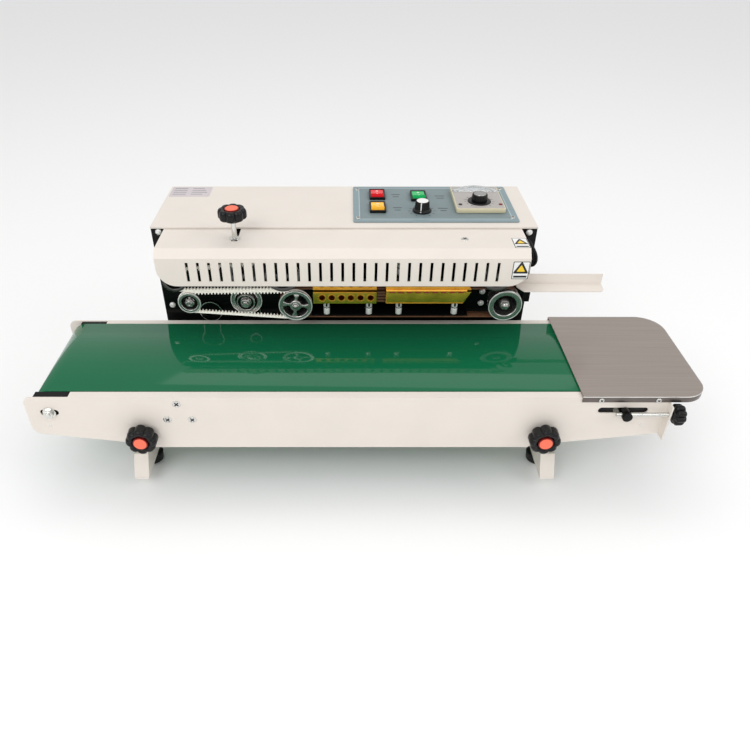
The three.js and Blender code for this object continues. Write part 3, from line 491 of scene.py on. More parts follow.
# ---------- conveyor ----------
EAR_REACH = 12.5
CONVEYOR_FRONT = span("conveyor_panel_front")[0].y + EAR_REACH
CONVEYOR_DEPTH = 177
CONVEYOR_REAR = CONVEYOR_FRONT + CONVEYOR_DEPTH
BELT_THICK = 2.0
BELT_LOW, BELT_HIGH = span("conveyor_belt")


def loop_path(right, left, step):
    """Points round two circles (x, z, r): each with its outward normal and whether its run is straight."""
    (ax, az, ar), (bx, bz, br) = right, left
    lie = math.atan2(bz - az, bx - ax)
    opening = math.acos((ar - br) / math.hypot(bx - ax, bz - az))
    points = []
    for (cx, cz, r), start, end in (((ax, az, ar), lie + opening, lie - opening + TURN),
                                    ((bx, bz, br), lie - opening, lie + opening)):
        count = max(12, round(r * (end - start) / step))
        for i in range(count + 1):
            angle = start + (end - start) * i / count
            normal = Vector((math.cos(angle), math.sin(angle)))
            points.append((Vector((cx, cz)) + normal * r, normal, False))
    cut = max(12, round(ar * (TURN - 2 * opening) / step)) + 1

    def straight(start, end):
        count = max(1, round((end[0] - start[0]).length / step))
        return [(start[0].lerp(end[0], i / count), start[1], True) for i in range(1, count)]

    lower, upper = straight(points[cut - 1], points[cut]), straight(points[-1], points[0])
    return points[:cut] + lower + points[cut:] + upper


def band(right, left, thick, y0, y1, step, tooth=0.0, pitch=4.0, edge=0.25):
    """An endless band, with trapezoid teeth on the inside of its straight runs when tooth is given."""
    form = bmesh.new()
    rings = []
    travelled, previous = 0.0, None
    for point, normal, straight in loop_path(right, left, step):
        travelled += (point - previous).length if previous is not None else 0.0
        previous = point
        phase = (travelled % pitch) / pitch
        depth = thick + (tooth * min(1, max(0, 2 - abs(phase - 0.5) * 7)) if straight else 0)
        section = [(0, y0 + edge), (0, y1 - edge), (edge, y1), (depth - edge, y1), (depth, y1 - edge),
                   (depth, y0 + edge), (depth - edge, y0), (edge, y0)]
        ring = []
        for sink, y in section:
            place = point - normal * sink
            ring.append(form.verts.new((place.x, y, place.y)))
        rings.append(ring)
    for ring, following in zip(rings, rings[1:] + rings[:1]):
        for i in range(len(ring)):
            j = (i + 1) % len(ring)
            form.faces.new((ring[i], ring[j], following[j], following[i]))
    return from_bmesh(form)


def star_shape(radius, lobes, depth):
    """Lobes with a round crown and a narrow valley between them, fading out towards the hub."""
    def shape(angle, r):
        part = max(0.0, min(1.0, (r / radius - 0.42) / 0.45))
        return r - depth * part * (1 - abs(math.cos(lobes * angle / 2))) ** 1.25
    return shape


def star_grip(radius, low, high, axis, at, lobes=8, depth=2.8):
    """A star grip from its low face to its high face along the axis, dished in the middle for its cap."""
    rise = high - low
    profile = [
        (0, low), (radius * 0.55, low), (radius * 0.58, low + rise * 0.14),
        (radius * 0.88, low + rise * 0.18), (radius, low + rise * 0.3), (radius, low + rise * 0.74),
        (radius * 0.93, low + rise * 0.92), (radius * 0.78, low + rise), (radius * 0.6, low + rise * 0.95),
        (radius * 0.53, low + rise * 0.86), (0, low + rise * 0.86),
    ]
    shape = star_shape(radius, lobes, depth)
    return turned(profile, axis, at, steps=128, shape=shape, round_by=radius * 0.07)


def knob_cap(name, low, high, axis, at, body):
    """A coral cap pressed into a grip, inside a thin dark red ring."""
    out = 1 if high > low else -1
    profile = [(0, low), (8.1, low), (8.1, high - 0.5 * out), (7.4, high), (0, high)]
    piece(name, turned(profile, axis, at, round_by=0.3), "knob_cap", body)
    ring = turned(tube(8.2, 9.1, low, high - 0.8 * out), axis, at, round_by=0.15)
    piece(name + "_ring", ring, "knob_cap", body, look="dark_red")


def roller_end(node, thick):
    """The circle (x, z, radius) that a belt's outside follows round a roller."""
    low, high = span(node)
    x, _, z = on_axis(node, "y")
    return x, z, (high.z - low.z) / 2 + thick + 0.3


def conveyor():
    for node in ("conveyor_panel_front", "conveyor_panel_rear"):
        keep_cad(node, "beige_paint", "conveyor", 0.35)
    keep_cad("conveyor_bed", "black_paint", "conveyor", 0.3)
    end_plate()
    ends = [roller_end(node, BELT_THICK) for node in ("tail_roller", "head_roller")]
    belt = band(*ends, BELT_THICK, BELT_LOW.y, BELT_HIGH.y, 3)
    piece("belt_band", belt, "green_belt", "conveyor", ["conveyor_belt"], angle=50)
    places = [(x, CONVEYOR_FRONT, z, "-y", 5.2, 1.0) for x, z in CONVEYOR_BOLTS]
    plate_low, plate_high = span("end_plate")
    for x in END_PLATE_SCREWS_X:
        for y, facing in ((plate_low.y, "-y"), (plate_high.y, "y")):
            places.append((x, y, END_PLATE_SCREWS_Z, facing, 3.4, 1.4))
    screws("conveyor_screws", "conveyor", places)
    head_end_blocks()
    profile = [(0, 0), (1.9, 0), (1.6, -0.25), (0, -0.3)]
    rivets = [turned(profile, "y", (x, CONVEYOR_FRONT, z), 20, round_by=0.1) for x, z in CONVEYOR_RIVETS]
    piece("panel_rivets", merged(rivets), "plated_screw", "conveyor")
    head_axle()
    paint_slot_shade()
    tail_end()
    for side, x in HEIGHT_KNOBS.items():
        height_knob(side, x)


def end_plate():
    """The stainless plate, with painted shade darkening its turned-down edge and a painted highlight along
    the fold above it.
    """
    low, high = span("end_plate")
    middle = Matrix.Translation((low + high) / 2)
    shrink = Matrix.Diagonal((0.9985, 0.9985, 1, 1))
    shell = moved(cad_copy("end_plate"), middle @ shrink @ middle.inverted())
    piece("end_plate_shell", shell, "stainless", "conveyor", ["end_plate"], bevel=0.7)
    front_r, rear_r, lip = 29, 34, 8.5

    def rim(grow):
        left = low.x + 0.2
        front = arc(high.x - front_r, low.y + front_r, front_r + grow, -90, 0, 14)
        rear = arc(high.x - rear_r, high.y - rear_r, rear_r + grow, 0, 90, 14)
        return [(left, low.y - grow), *front, *rear, (left, high.y + grow)]

    edge = rim(0.0) + list(reversed(rim(-0.5)))
    fold = high.z - 1.1
    # The lip takes painted shade and the fold above it a painted highlight.
    for name, z0, z1, look in (("plate_lip_painted_shade", high.z - lip, fold, "plate_lip_painted_shade"),
                               ("plate_fold_highlight", fold, high.z - 0.3, "painted_highlight_edge")):
        piece(name, cut_sheet([edge], z0, z1, "z", 0.02), "stainless", "conveyor", look=look)


def paint_slot_shade():
    """A dark sheet painted as shade behind each tension slot, with a long hole for the axle."""
    dark_sheets = []
    hole = box_outline(303.5, 323.5, 127.8, 142.2, 7)
    for y0, y1 in ((CONVEYOR_FRONT + 2.4, CONVEYOR_FRONT + 3.4), (CONVEYOR_REAR - 3.4, CONVEYOR_REAR - 2.4)):
        dark_sheets.append(cut_sheet([box_outline(280, 352, 124, 146, 2), hole], y0, y1, "y", 0.1))
    piece("slot_shade_sheets", merged(dark_sheets), "black_paint", "conveyor")


def head_end_blocks():
    """Black blocks in the gaps beside the belt at the head roller."""
    z0, z1 = 118, 154.5
    front = block(-414, -371, CONVEYOR_FRONT + 2.3, BELT_LOW.y - 0.5, z0, z1)
    rear = block(-407, -352, BELT_HIGH.y + 0.5, CONVEYOR_REAR - 2.3, z0, z1)
    piece("head_end_blocks", merged([front, rear]), "black_paint", "conveyor", bevel=1.2)


def roller(node, shaft_r, r):
    """A roller as wide as the belt, on its shaft."""
    low, high = span(node)
    profile = [(0, low.y), (shaft_r, low.y), (shaft_r, BELT_LOW.y + 2), (r, BELT_LOW.y + 2),
               (r, BELT_HIGH.y - 2), (shaft_r, BELT_HIGH.y - 2), (shaft_r, high.y), (0, high.y)]
    mesh = turned(profile, "y", on_axis(node, "y"))
    piece(node + "_turned", mesh, "polished_steel", node, [node])


def head_axle():
    low, high = span("head_roller")
    roller("head_roller", 4, (high.x - low.x) / 2)
    at = on_axis("head_roller", "y")
    nuts = []
    for face, out in ((CONVEYOR_FRONT, -1), (CONVEYOR_REAR, 1)):
        nuts.append(turned(rod(8.2, face, face + out * 1.2), "y", at))
        nuts.append(hexagon(6.6, face + out * 1.2, face + out * 5.6, "y", at))
        nuts.append(turned(rod(3, face, face + out * 7.6), "y", at))
    piece("head_axle_nuts", merged(nuts), "plated_screw", "conveyor")


def tail_end():
    low, high = span("tail_axle")
    at = on_axis("tail_axle", "y")
    r = (high.z - low.z) / 2
    half = [(0, low.y), (r, low.y), (r, low.y + 14), (4.2, low.y + 14), (4.2, low.y + 18), (5.6, low.y + 18)]
    profile = half + [(p, low.y + high.y - y) for p, y in reversed(half)]
    axle = turned(profile, "y", at, round_by=0.7)
    piece("tail_axle_turned", axle, "black_paint", "tail_axle", ["tail_axle"])
    low, high = span("tail_roller")
    ring = turned(tube(6.3, (high.z - low.z) / 2, low.y, high.y), "y", at)
    piece("tail_roller_turned", ring, "polished_steel", "tail_roller", ["tail_roller"])
    for side in ("front", "rear"):
        tension_screw("tension_screw_" + side, at[2])


def tension_screw(node, z):
    low, high = span(node)
    at = (0, (low.y + high.y) / 2, z)
    thread = []
    t = low.x
    while t < high.x - 12:
        thread += [(2.72, t), (2.45, t + 0.6)]
        t += 1.25
    profile = [(0, low.x), *thread, (2.72, high.x - 10), (0, high.x - 10)]
    piece(node + "_rod", turned(profile, "x", at, 24, round_by=0.05), "plated_screw", node)
    grip = star_grip(13.5, high.x - 14.5, high.x, "x", at, depth=2.6)
    piece(node + "_grip", grip, "black_plastic", node, [node], angle=50)


def height_knob(side, x):
    node = "height_knob_" + side
    low, high = span(node)
    at = (x, 0, (low.z + high.z) / 2)
    grip = star_grip((high.z - low.z) / 2, CONVEYOR_FRONT - 1, low.y + 0.6, "y", at)
    piece(node + "_grip", grip, "black_plastic", node, [node], angle=40)
    knob_cap(node + "_cap", low.y + 5, low.y, "y", at, node)
    stud = turned(rod(3, CONVEYOR_FRONT, high.y), "y", at, 24)
    piece(node + "_stud", stud, "plated_screw", node)


# ---------- arms and feet ----------
def arms_and_feet():
    for side in ("left", "right"):
        keep_cad("support_arm_" + side, "beige_paint", "carriage", 0.5)
        for end, body in (("front", "carriage"), ("rear", "root")):
            node = f"foot_{end}_{side}"
            low, high = span(node)
            r, top = (high.x - low.x) / 2, high.z
            profile = [(0, 0), (r - 3.2, 0), (r - 1.2, 2), (r, top - 3), (r - 0.8, top - 1),
                       (r - 3, top), (0, top)]
            foot = turned(profile, "z", on_axis(node, "z"), round_by=1.0)
            piece(node + "_moulded", foot, "rubber", body, [node])


# ---------- head covers ----------
def head_covers():
    for node, slot, bevel in (("chassis", "black_paint", 0.4), ("head_cover", "beige_paint", 0.9),
                              ("front_guard", "beige_paint", 0.6), ("infeed_guide", "beige_paint", 0.35),
                              ("guide_bracket", "black_paint", 0.4)):
        keep_cad(node, slot, "root", bevel)
    profile = [(0, 0), (4.4, 0), (4.2, -1.4), (3, -2.8), (1.2, -3.3), (0, -3.3)]
    heads = [turned(profile, "y", (x, 0, z), 32) for x, z in PANEL_SCREWS]
    piece("panel_screws", merged(heads), "plated_screw", look="spring_steel")
    guard_top = span("front_guard")[1].z
    places = [(*GUARD_SCREW, guard_top, "z", 4.6, 1.4)]
    low, high = span("head_cover")
    for z in (60, 170, 265):
        for y in (20, 120):
            places += [(low.x, y, z, "-x", 3.6, 1.8), (high.x, y, z, "x", 3.6, 1.8)]
    places += [(x, high.y, 30, "y", 3.6, 1.8) for x in (-270, -90, 90, 207)]
    screws("head_screws", "root", places)
    profile = [(4.8, 0), (8.2, 0), (8, 0.35), (4.8, 0.35), (4.8, 0)]
    dimple = turned([(r, guard_top + t) for r, t in profile], "z", (*GUARD_SCREW, 0), round_by=0.1)
    piece("guard_dimple", dimple, "beige_paint")
    panel_bosses()
    labels(high.z)
    gland()


def panel_bosses():
    """Round bosses on the front panel below the wheels, each with a bright turned edge."""
    for number, (x, z, r) in enumerate(PANEL_BOSSES):
        profile = [(r * 0.5, 0), (r, 0), (r, -3.5), (r - 1.2, -4.2), (r * 0.5, -4.2), (r * 0.5, 0)]
        piece(f"panel_boss_{number}", turned(profile, "y", (x, 0, z)), "black_paint")
        edge = turned(tube(r - 1.3, r - 0.3, -4.0, -4.6), "y", (x, 0, z), round_by=0.15)
        piece(f"panel_boss_{number}_edge", edge, "plated_screw")


def labels(cover_top):
    plate = layer_on(cover_top, [box_outline(-285, -227, 101, 137, 1.5)], 0.25, 0.08)
    piece("rating_plate", plate, "label")
    lines = []
    for row in range(4):
        y = 131 - row * 7.4
        for x0, x1 in ((-281, -262), (-255, -238 + (row % 3) * 3)):
            lines.append(layer_on(cover_top + 0.25, [box_outline(x0, x1, y, y + 1.0, 0.4)], 0.08, 0.02))
    piece("rating_plate_lines", merged(lines), "label", look="grey_print")
    guard = span("front_guard")
    flange_top, face = guard[1].z, guard[0].y
    warning_sign("sign_top", lambda a, b, t: (193.9 + a, -43.5 + b, flange_top + t), 9.7, 14)
    warning_sign("sign_front", lambda a, b, t: (192.7 + a, face - t, 265.5 + b), 10.6, 12.4)


def warning_sign(name, put, wide, high):
    """A plain sticker: a white field with a black rim, a black-edged yellow triangle and a black bar."""
    def layer(outlines, low, suffix, look):
        mesh = layer_on(low, outlines, 0.08, 0.02)
        for vert in mesh.vertices:
            vert.co = put(*vert.co)
        form = bmesh.new()
        form.from_mesh(mesh)
        piece(f"{name}_{suffix}", from_bmesh(form), "label", look=look)

    def triangle(half, cy):
        points = []
        for turn in (0, 120, 240):
            aim = math.radians(90 + turn)
            x, y = half * math.cos(aim), cy + half * math.sin(aim)
            points += arc(x, y, half * 0.14, 30 + turn, 150 + turn, 4)
        return points

    layer([box_outline(-wide, wide, -high, high, 1)], 0, "rim", "ink")
    layer([box_outline(0.9 - wide, wide - 0.9, 0.9 - high, high - 0.9, 0.7)], 0.08, "field", "white_print")
    layer([triangle(wide * 0.86, high * 0.12)], 0.16, "edge", "ink")
    layer([triangle(wide * 0.47, high * 0.12)], 0.24, "yellow", "sign_yellow")
    layer([box_outline(-wide * 0.8, wide * 0.8, -high * 0.82, -high * 0.6, 0.4)], 0.16, "bar", "ink")


def gland():
    low, high = span("cable_gland")
    at, y = on_axis("cable_gland", "y"), high.y
    profile = [(0, low.y), (8, low.y), (8, y - 14), (7, y - 6), (8.4, y - 5.4), (8.4, y - 2), (6.4, y),
               (3.6, y), (3.6, y - 18), (0, y - 18)]
    mesh = merged([turned(profile, "y", at, round_by=0.5), hexagon(11, y - 13.7, y - 6, "y", at)])
    piece("cable_gland_moulded", mesh, "black_plastic", "root", ["cable_gland"])


# ---------- controls ----------
def controls():
    keep_cad("control_plate", "control_plate", "root", 0.3)
    low, high = span("control_plate")
    top = high.z
    field(low, high)
    screws("plate_screws", "root", [(x, y, top, "z", 3.5, 1.6) for x, y in CONTROL_PLATE_SCREWS])
    for name, slot in (("power", "red_plastic"), ("heater", "amber_plastic"), ("fan", "green_plastic")):
        rocker_switch(name, slot)
    speed_control(top)
    temperature_control()
    print_marks(top)


def field(low, high):
    """The plate's printed grey field, with a thin pale line round it."""
    holes = []
    for node in ("bezel_power", "bezel_heater", "bezel_fan", "temp_controller"):
        a, b = span(node)
        holes.append(list(reversed(box_outline(a.x - 0.4, b.x + 0.4, a.y - 0.4, b.y + 0.4, 1))))
    holes.append(circle(*SPEED_KNOB, 6))
    x0, x1, y0, y1 = low.x + 9, high.x - 9, low.y + 8, high.y - 8
    rim = box_outline(x0, x1, y0, y1, 2)
    piece("plate_field", layer_on(high.z, [rim, *holes]), "control_plate", look="plate_field")
    line = layer_on(high.z, [box_outline(x0 - 1.2, x1 + 1.2, y0 - 1.2, y1 + 1.2, 2.6), rim], 0.12)
    piece("plate_field_rim", line, "control_plate", look="plate_line")


def print_marks(top):
    """Plain bars where captions would be, and the scale round the speed knob."""
    bars = []
    for x, y, long in ((42, 103, 12), (42, 95, 9), (42, 56, 12), (42, 48, 9),
                       (105, 98, 14), (105, 90, 11), (105, 54, 14), (105, 46, 9)):
        outline = box_outline(x - long / 2, x + long / 2, y - 1.1, y + 1.1, 0.8)
        bars.append(layer_on(top + 0.1, [outline]))
    for i in range(11):
        tick = layer_on(top + 0.1, [box_outline(-1.9, 1.9, -0.5, 0.5, 0.2)])
        bars.append(round_centre(tick, SPEED_KNOB, 17.5, math.radians(240 - 30 * i)))
    piece("control_print", merged(bars), "control_plate", look="grey_print")


def rocker_switch(name, slot):
    low, high = span("bezel_" + name)
    x, y, _ = on_axis("bezel_" + name, "z")
    rim = cut_sheet([box_outline(low.x, high.x, low.y, high.y, 1.6),
                     box_outline(x - 9.1, x + 9.1, y - 14.1, y + 14.1, 0.8)], low.z, high.z, "z", 0.6)
    piece(f"bezel_{name}_moulded", rim, "black_plastic", "root", ["bezel_" + name])
    hollow = arc(0, 55.3, 53.9, -104, -76, 12)
    key = cut_sheet([[(-11.8, -5), (11.8, -5), *reversed(hollow)]], -8.9, 8.9, "x", 0.5)
    tilt = Matrix.Rotation(math.radians(-10), 4, "X")
    place = Matrix.Translation((x, y, low.z + 2.4))
    body = "rocker_" + name
    piece(body + "_key", moved(key, tilt, place), slot, body, [body])
    ring = turned(tube(1.2, 1.8, 2.0, 2.75), "z", (0, 7.6, 0), 24, round_by=0.05)
    mark = merged([block(-0.35, 0.35, -9.5, -6.3, 1.9, 2.6), ring])
    piece(body + "_marks", moved(mark, tilt, place), slot, body, look="white_print")


def flutes(depth, low, high=math.inf):
    """24 shallow flutes where a knob's radius is between low and high."""
    def shape(angle, r):
        return r - (depth * (0.5 + 0.5 * math.cos(24 * angle)) if low < r < high else 0)
    return shape


def speed_control(top):
    low, high = span("speed_knob")
    at = on_axis("speed_knob", "z")
    base, crown = top + 0.3, high.z
    profile = [(0, low.z), (4, low.z), (4, base), (13, base), (13, base + 2), (10.8, base + 3.4),
               (10.2, base + 4), (9.4, crown - 1.5), (8.4, crown - 0.5), (0, crown - 0.5)]
    body = turned(profile, "z", at, 96, flutes(0.5, 9, 10.8), 0.5)
    piece("speed_knob_body", body, "black_plastic", "speed_knob", ["speed_knob"], angle=40)
    profile = [(0, crown - 0.7), (8, crown - 0.7), (8, crown - 0.2), (7.4, crown), (0, crown)]
    disc = turned(profile, "z", at, round_by=0.2)
    lean, place = Matrix.Rotation(math.radians(-14), 4, "Z"), Matrix.Translation(at)
    lines = [moved(line, lean, place) for line in (block(-0.7, 0.7, -12.6, -9.6, base + 2.0, base + 3.2),
                                                   block(-0.7, 0.7, -10.3, -8.7, base + 4, crown - 0.8))]
    piece("speed_knob_pointer", merged([disc, *lines]), "black_plastic", "speed_knob",
          look="white_print", bevel=0.15)


def round_centre(mesh, centre, radius, angle):
    """A mesh that lies along +X at the origin, turned by the angle and put that far from the centre."""
    x, y = centre[0] + radius * math.cos(angle), centre[1] + radius * math.sin(angle)
    return moved(mesh, Matrix.Rotation(angle, 4, "Z"), Matrix.Translation((x, y, 0)))


def ring_of_ticks(centre, radius, first, step, count, half_long, half_wide, z):
    """Thin bars standing round a centre like a scale; every third one is longer."""
    ticks = []
    for i in range(count):
        long = half_long * (1.5 if i % 3 == 0 else 1)
        tick = layer_on(z, [box_outline(-long, long, -half_wide, half_wide, half_wide / 2)], 0.08, 0.02)
        ticks.append(round_centre(tick, centre, radius, math.radians(first + step * i)))
    return ticks


def temperature_control():
    low, high = span("temp_controller")
    at = on_axis("temp_dial", "z")
    face = high.z - 2.2
    rim = face - 6.4
    case = cut_sheet([box_outline(low.x, high.x, low.y, high.y, 3)], rim, face, "z", 0.9)
    body = block(low.x + 4, high.x - 4, low.y + 6.5, high.y - 7, low.z, rim + 2)
    piece("controller_case", merged([case, body]), "controller_plastic", "root", ["temp_controller"])
    panel = box_outline(low.x + 1.6, high.x - 1.6, low.y + 1.6, high.y - 1.6, 2)
    x, y = at[0] - 0.5, at[1] + 16
    window = [(x - 29, high.y - 21), *arc(x, y, 38, 152, 28, 18), (x + 29, high.y - 21)]
    ticks = ring_of_ticks((x, y), 32, 144, -6, 19, 1.5, 0.3, face + 0.6)
    ticks += ring_of_ticks(at, 19.5, 230, -23.3, 13, 1.3, 0.35, face + 0.35)
    lamp = [(0, face), (2.6, face), (2.6, face + 1.2), (0, face + 1.8)]
    lamps = [turned(lamp, "z", (lamp_x, 50.6, 0), 24, round_by=0.3) for lamp_x in (128, 183.4)]
    for name, mesh, look in (
            ("face", layer_on(face, [panel], 0.35, 0.12), "dial_face"),
            ("scale", cut_sheet([window], face + 0.35, face + 0.6, "z", 0.1), "white_print"),
            ("window", cut_sheet([window], face + 0.75, face + 2.2, "z", 0.6), "clear_window"),
            ("ticks", merged(ticks), "ink"),
            ("lamp_left", lamps[0], "dial_black"), ("lamp_right", lamps[1], "dark_red")):
        slot = "clear_window" if name == "window" else "controller_plastic"
        piece("controller_" + name, mesh, slot, look=look)
    temperature_dial(at, face + 0.3)


def temperature_dial(at, base):
    low, high = span("temp_dial")
    top = high.z
    profile = [(0, low.z), (4, low.z), (4, base), (16.1, base), (16.1, base + 1.1), (14.6, base + 1.6),
               (0, base + 1.6)]
    piece("temp_dial_skirt", turned(profile, "z", at, 64), "black_plastic", "temp_dial", ["temp_dial"])
    profile = [(0, base + 1.4), (10.8, base + 1.4), (10.5, top - 1.2), (9.9, top - 0.5), (0, top - 0.5)]
    grip = turned(profile, "z", at, 96, flutes(0.45, 9.9))
    piece("temp_dial_grip", grip, "black_plastic", "temp_dial", angle=40)
    crown = turned([(0, top - 0.8), (8.8, top - 0.8), (8.6, top), (0, top)], "z", at)
    pointer = block(at[0] - 0.6, at[0] + 0.6, at[1] + 11, at[1] + 15.2, base + 1.4, base + 1.9)
    piece("temp_dial_crown", merged([crown, pointer]), "polished_steel", "temp_dial")


# ---------- pressure knob ----------
def pressure():
    low, high = span("pressure_knob")
    at = on_axis("pressure_knob", "z")
    grip = star_grip((high.x - low.x) / 2, high.z - 17.5, high.z - 0.5, "z", at)
    piece("pressure_knob_grip", grip, "black_plastic", "pressure_knob", ["pressure_knob"], angle=40)
    knob_cap("pressure_knob_cap", high.z - 5, high.z, "z", at, "pressure_knob")
    collar = [(0, 291.8), (6.6, 291.8), (6.6, 292.8), (4.2, 293.6), (0, 293.6)]
    stem = [turned(profile, "z", at, 32) for profile in (rod(3.2, low.z, high.z - 12), collar)]
    piece("pressure_stem", merged(stem), "plated_screw", "pressure_knob")


# ---------- wheels, belts and blocks ----------
# The upper wheels take the darker steel as painted shade under the guard.
WHEEL_LOOKS = {"lower": None, "upper": "painted_shade_steel"}


def wheel_place(node):
    low, high = span(node)
    return on_axis(node, "y"), low.y, high.y


def dome_nut(at, front, back, r):
    dome = [(0, front), (r * 0.45, front + 0.3), (r * 0.78, front + 2.4), (0, front + 2.4)]
    return merged([hexagon(r, back, front + 2.2, "y", at), turned(dome, "y", at, 32, round_by=1.2)])


def wheel(node, at, body, parts, rings, rim_r, rim_y):
    """A wheel's metal, dark rings in its recesses as painted shade and, on a lower wheel, a bright ring on
    its front edge as a painted highlight.
    """
    level = node.split("_")[-1]
    piece(node + "_turned", merged(parts), "polished_steel", body, [node], WHEEL_LOOKS[level])
    # Each dark ring is painted shade in a recess of the wheel.
    for name, inner, outer, low, high, round_by in rings:
        ring = turned(tube(inner, outer, low, high), "y", at, round_by=round_by)
        piece(f"{node}_{name}", ring, "black_paint", body)
    # On a lower wheel a bright ring on the front edge is a painted highlight.
    if level == "lower":
        profile = [(-1.3, 0.4), (0, 0.4), (-0.1, -0.35), (-1.1, -0.35), (-1.3, 0.4)]
        edge = turned([(rim_r + r, rim_y + t) for r, t in profile], "y", at, 72, round_by=0.2)
        piece(node + "_rim", edge, "polished_steel", body, look="painted_highlight_edge")


def drive_wheel(name):
    node = "drive_wheel_" + name
    at, front, back = wheel_place(node)
    rim = [(17, -44), (17.3, -47.6), (18, -48.1), (20.6, -48.1), (21.1, -48.3), (22.4, -48.3), (23, -47.6),
           (23, -46.6), (20, -46.2), (20, -41.3), (20.9, -41.1), (20.9, -26), (17.4, -26), (17, -44)]
    hub = [(0, -48.4), (7.2, -48.4), (8, -47.6), (8.4, -42), (9, -27), (4, -24), (4, back), (0, back)]
    parts = [turned(rim, "y", at, 72, round_by=0.35), turned(hub, "y", at)]
    outline = [(6.5, -2.6), (11, -1.9), (17.4, -4.4), (17.4, 4.4), (11, 1.9), (6.5, 2.6)]
    for k in range(4):
        turn = Matrix.Rotation(k * TURN / 4 + 0.12, 4, "Y")
        parts.append(moved(cut_sheet([outline], -46.6, -42, "y", 0.5), turn, Matrix.Translation(at)))
    parts.append(dome_nut(at, front, -48.4, 5))
    # The dark disc behind the spokes is painted shade seen through the spoke windows.
    wheel(node, at, "drive_" + name, parts, [("disc", 8, 17.2, -30, -28.5, 0.1)], 22.6, -48.2)


def idler_wheel(name):
    node = "idler_wheel_" + name
    at, front, back = wheel_place(node)
    profile = [(0, -46), (6, -46), (7.8, -42), (8, -35), (15, -35), (15.2, -47.2), (16, -48.1), (21.8, -48.3),
               (22.8, -47.6), (23, -46.8), (23, -41.6), (20.9, -41.3), (20.9, -26.2), (13, -26), (4, -24),
               (4, back), (0, back)]
    parts = [turned(profile, "y", at, 72, round_by=0.5), dome_nut(at, front, -46, 6.2)]
    wheel(node, at, node, parts, [("recess_shade", 8.1, 14.9, -36, -35, 0.05)], 22.6, -48.2)


def guide_pulley(name):
    node = "guide_pulley_" + name
    at, front, back = wheel_place(node)
    profile = [(0, -44.5), (6.4, -44.5), (6.8, -42), (10.3, -42), (10.8, -47.8), (11.4, -48.3), (15, -48.3),
               (15.7, -47.8), (15.7, -46.4), (13.6, -46.2), (13.6, -39.8), (8, -39.6), (4, -32), (4, back),
               (0, back)]
    parts = [turned(profile, "y", at, 56, round_by=0.4), hexagon(6.6, -44.5, front + 2.4, "y", at),
             cross_screw(at[0], front + 2.4, at[2], "-y", 4.2, 2.2)]
    wheel(node, at, node, parts, [("recess_shade", 6.9, 10.2, -44.5, -43.5, 0.05)], 15.3, -48.2)


def emboss_roller(name):
    node = "emboss_roller_" + name
    at, front, back = wheel_place(node)
    profile = [(0, -42), (7.5, -42), (7.8, -40), (10.2, -40), (10.6, -45), (12.2, -45.2), (12.6, -38.4),
               (15.2, -38.2), (15.8, -37.6), (18.6, -37.6), (19.2, -38.2), (21, -38.2), (21.6, -37.6),
               (21.6, -22.4), (20.8, -22), (12, -22), (4, -16), (4, back), (0, back)]
    parts = [turned(profile, "y", at, 72, round_by=0.3)]
    for k in range(4):
        y = -47 + k * 1.7
        parts.append(turned(tube(4.4, 6.4, y, y + 1.1), "y", at, 32, round_by=0.4))
    parts += [turned(rod(3.4, -48, -41), "y", at, 24), hexagon(4.2, -47, front, "y", at)]
    rings = [("recess_shade", 7.9, 10.1, -42.5, -41.5, 0.05), ("outer_recess_shade", 12.8, 15.2, -39, -38, 0.05)]
    wheel(node, at, node, parts, rings, 21.3, -38.0)


def belts(name):
    def end(kind, r):
        x, _, z = on_axis(f"{kind}_{name}", "y")
        return x, z, r

    drive = end("drive_wheel", 22.2)
    low, high = span("sealing_belt_" + name)
    mesh = band(end("idler_wheel", 22.2), drive, 0.9, low.y, high.y, 2.5, edge=0.15)
    piece(f"sealing_belt_{name}_band", mesh, "sealing_belt", "root", ["sealing_belt_" + name], angle=50)
    low, high = span("guide_belt_" + name)
    mesh = band(drive, end("guide_pulley", 16.0), 1.9, low.y, high.y, 0.55, tooth=2.4, pitch=4.4, edge=0.2)
    piece(f"guide_belt_{name}_band", mesh, "guide_belt", "root", ["guide_belt_" + name], angle=30)


def sealing_blocks():
    for part in ("cooler", "heater"):
        # The upper blocks take the lighter gold as painted highlight.
        for name, look in (("lower", None), ("upper", "painted_highlight_gold")):
            node = f"{part}_{name}"
            piece(node + "_shell", cad_copy(node), "chromate_metal", "root", [node], look, bevel=0.5)
    keep_cad("block_carrier", "black_paint", "root", 0.3)
    spring_posts()
    heater_details()


def spring_posts():
    posts = []
    low_z, high_z = span("heater_lower")[0].z, span("heater_upper")[1].z
    low, high = span("block_carrier")
    for x in SPRING_POSTS:
        for z0, z1 in ((low.z + 1.7, low_z - 0.3), (high_z + 0.3, high.z - 1.7)):
            middle = (z0 + z1) / 2
            profile = [(0, z0), (4.3, z0), (4.3, middle - 1), (3.4, middle - 0.6), (3.4, middle + 0.6),
                       (4.3, middle + 1), (4.3, z1), (0, z1)]
            posts.append(turned(profile, "z", (x, SPRING_POSTS_Y, 0), 32))
    piece("spring_posts", merged(posts), "plated_screw", look="spring_steel")
    slots = [block(x - 1.3, x + 1.3, -42.9, -42.0, low_z - 7.5, low_z - 1.5) for x in SPRING_POSTS]
    piece("spring_post_slots", merged(slots), "black_paint", bevel=0.2)


def block_detail(name, meshes, look="painted_highlight_gold", bevel=0.0):
    """A detail on the chromated blocks, by default in the lighter gold that paints a highlight."""
    piece(name, merged(meshes), "chromate_metal", look=look, bevel=bevel)


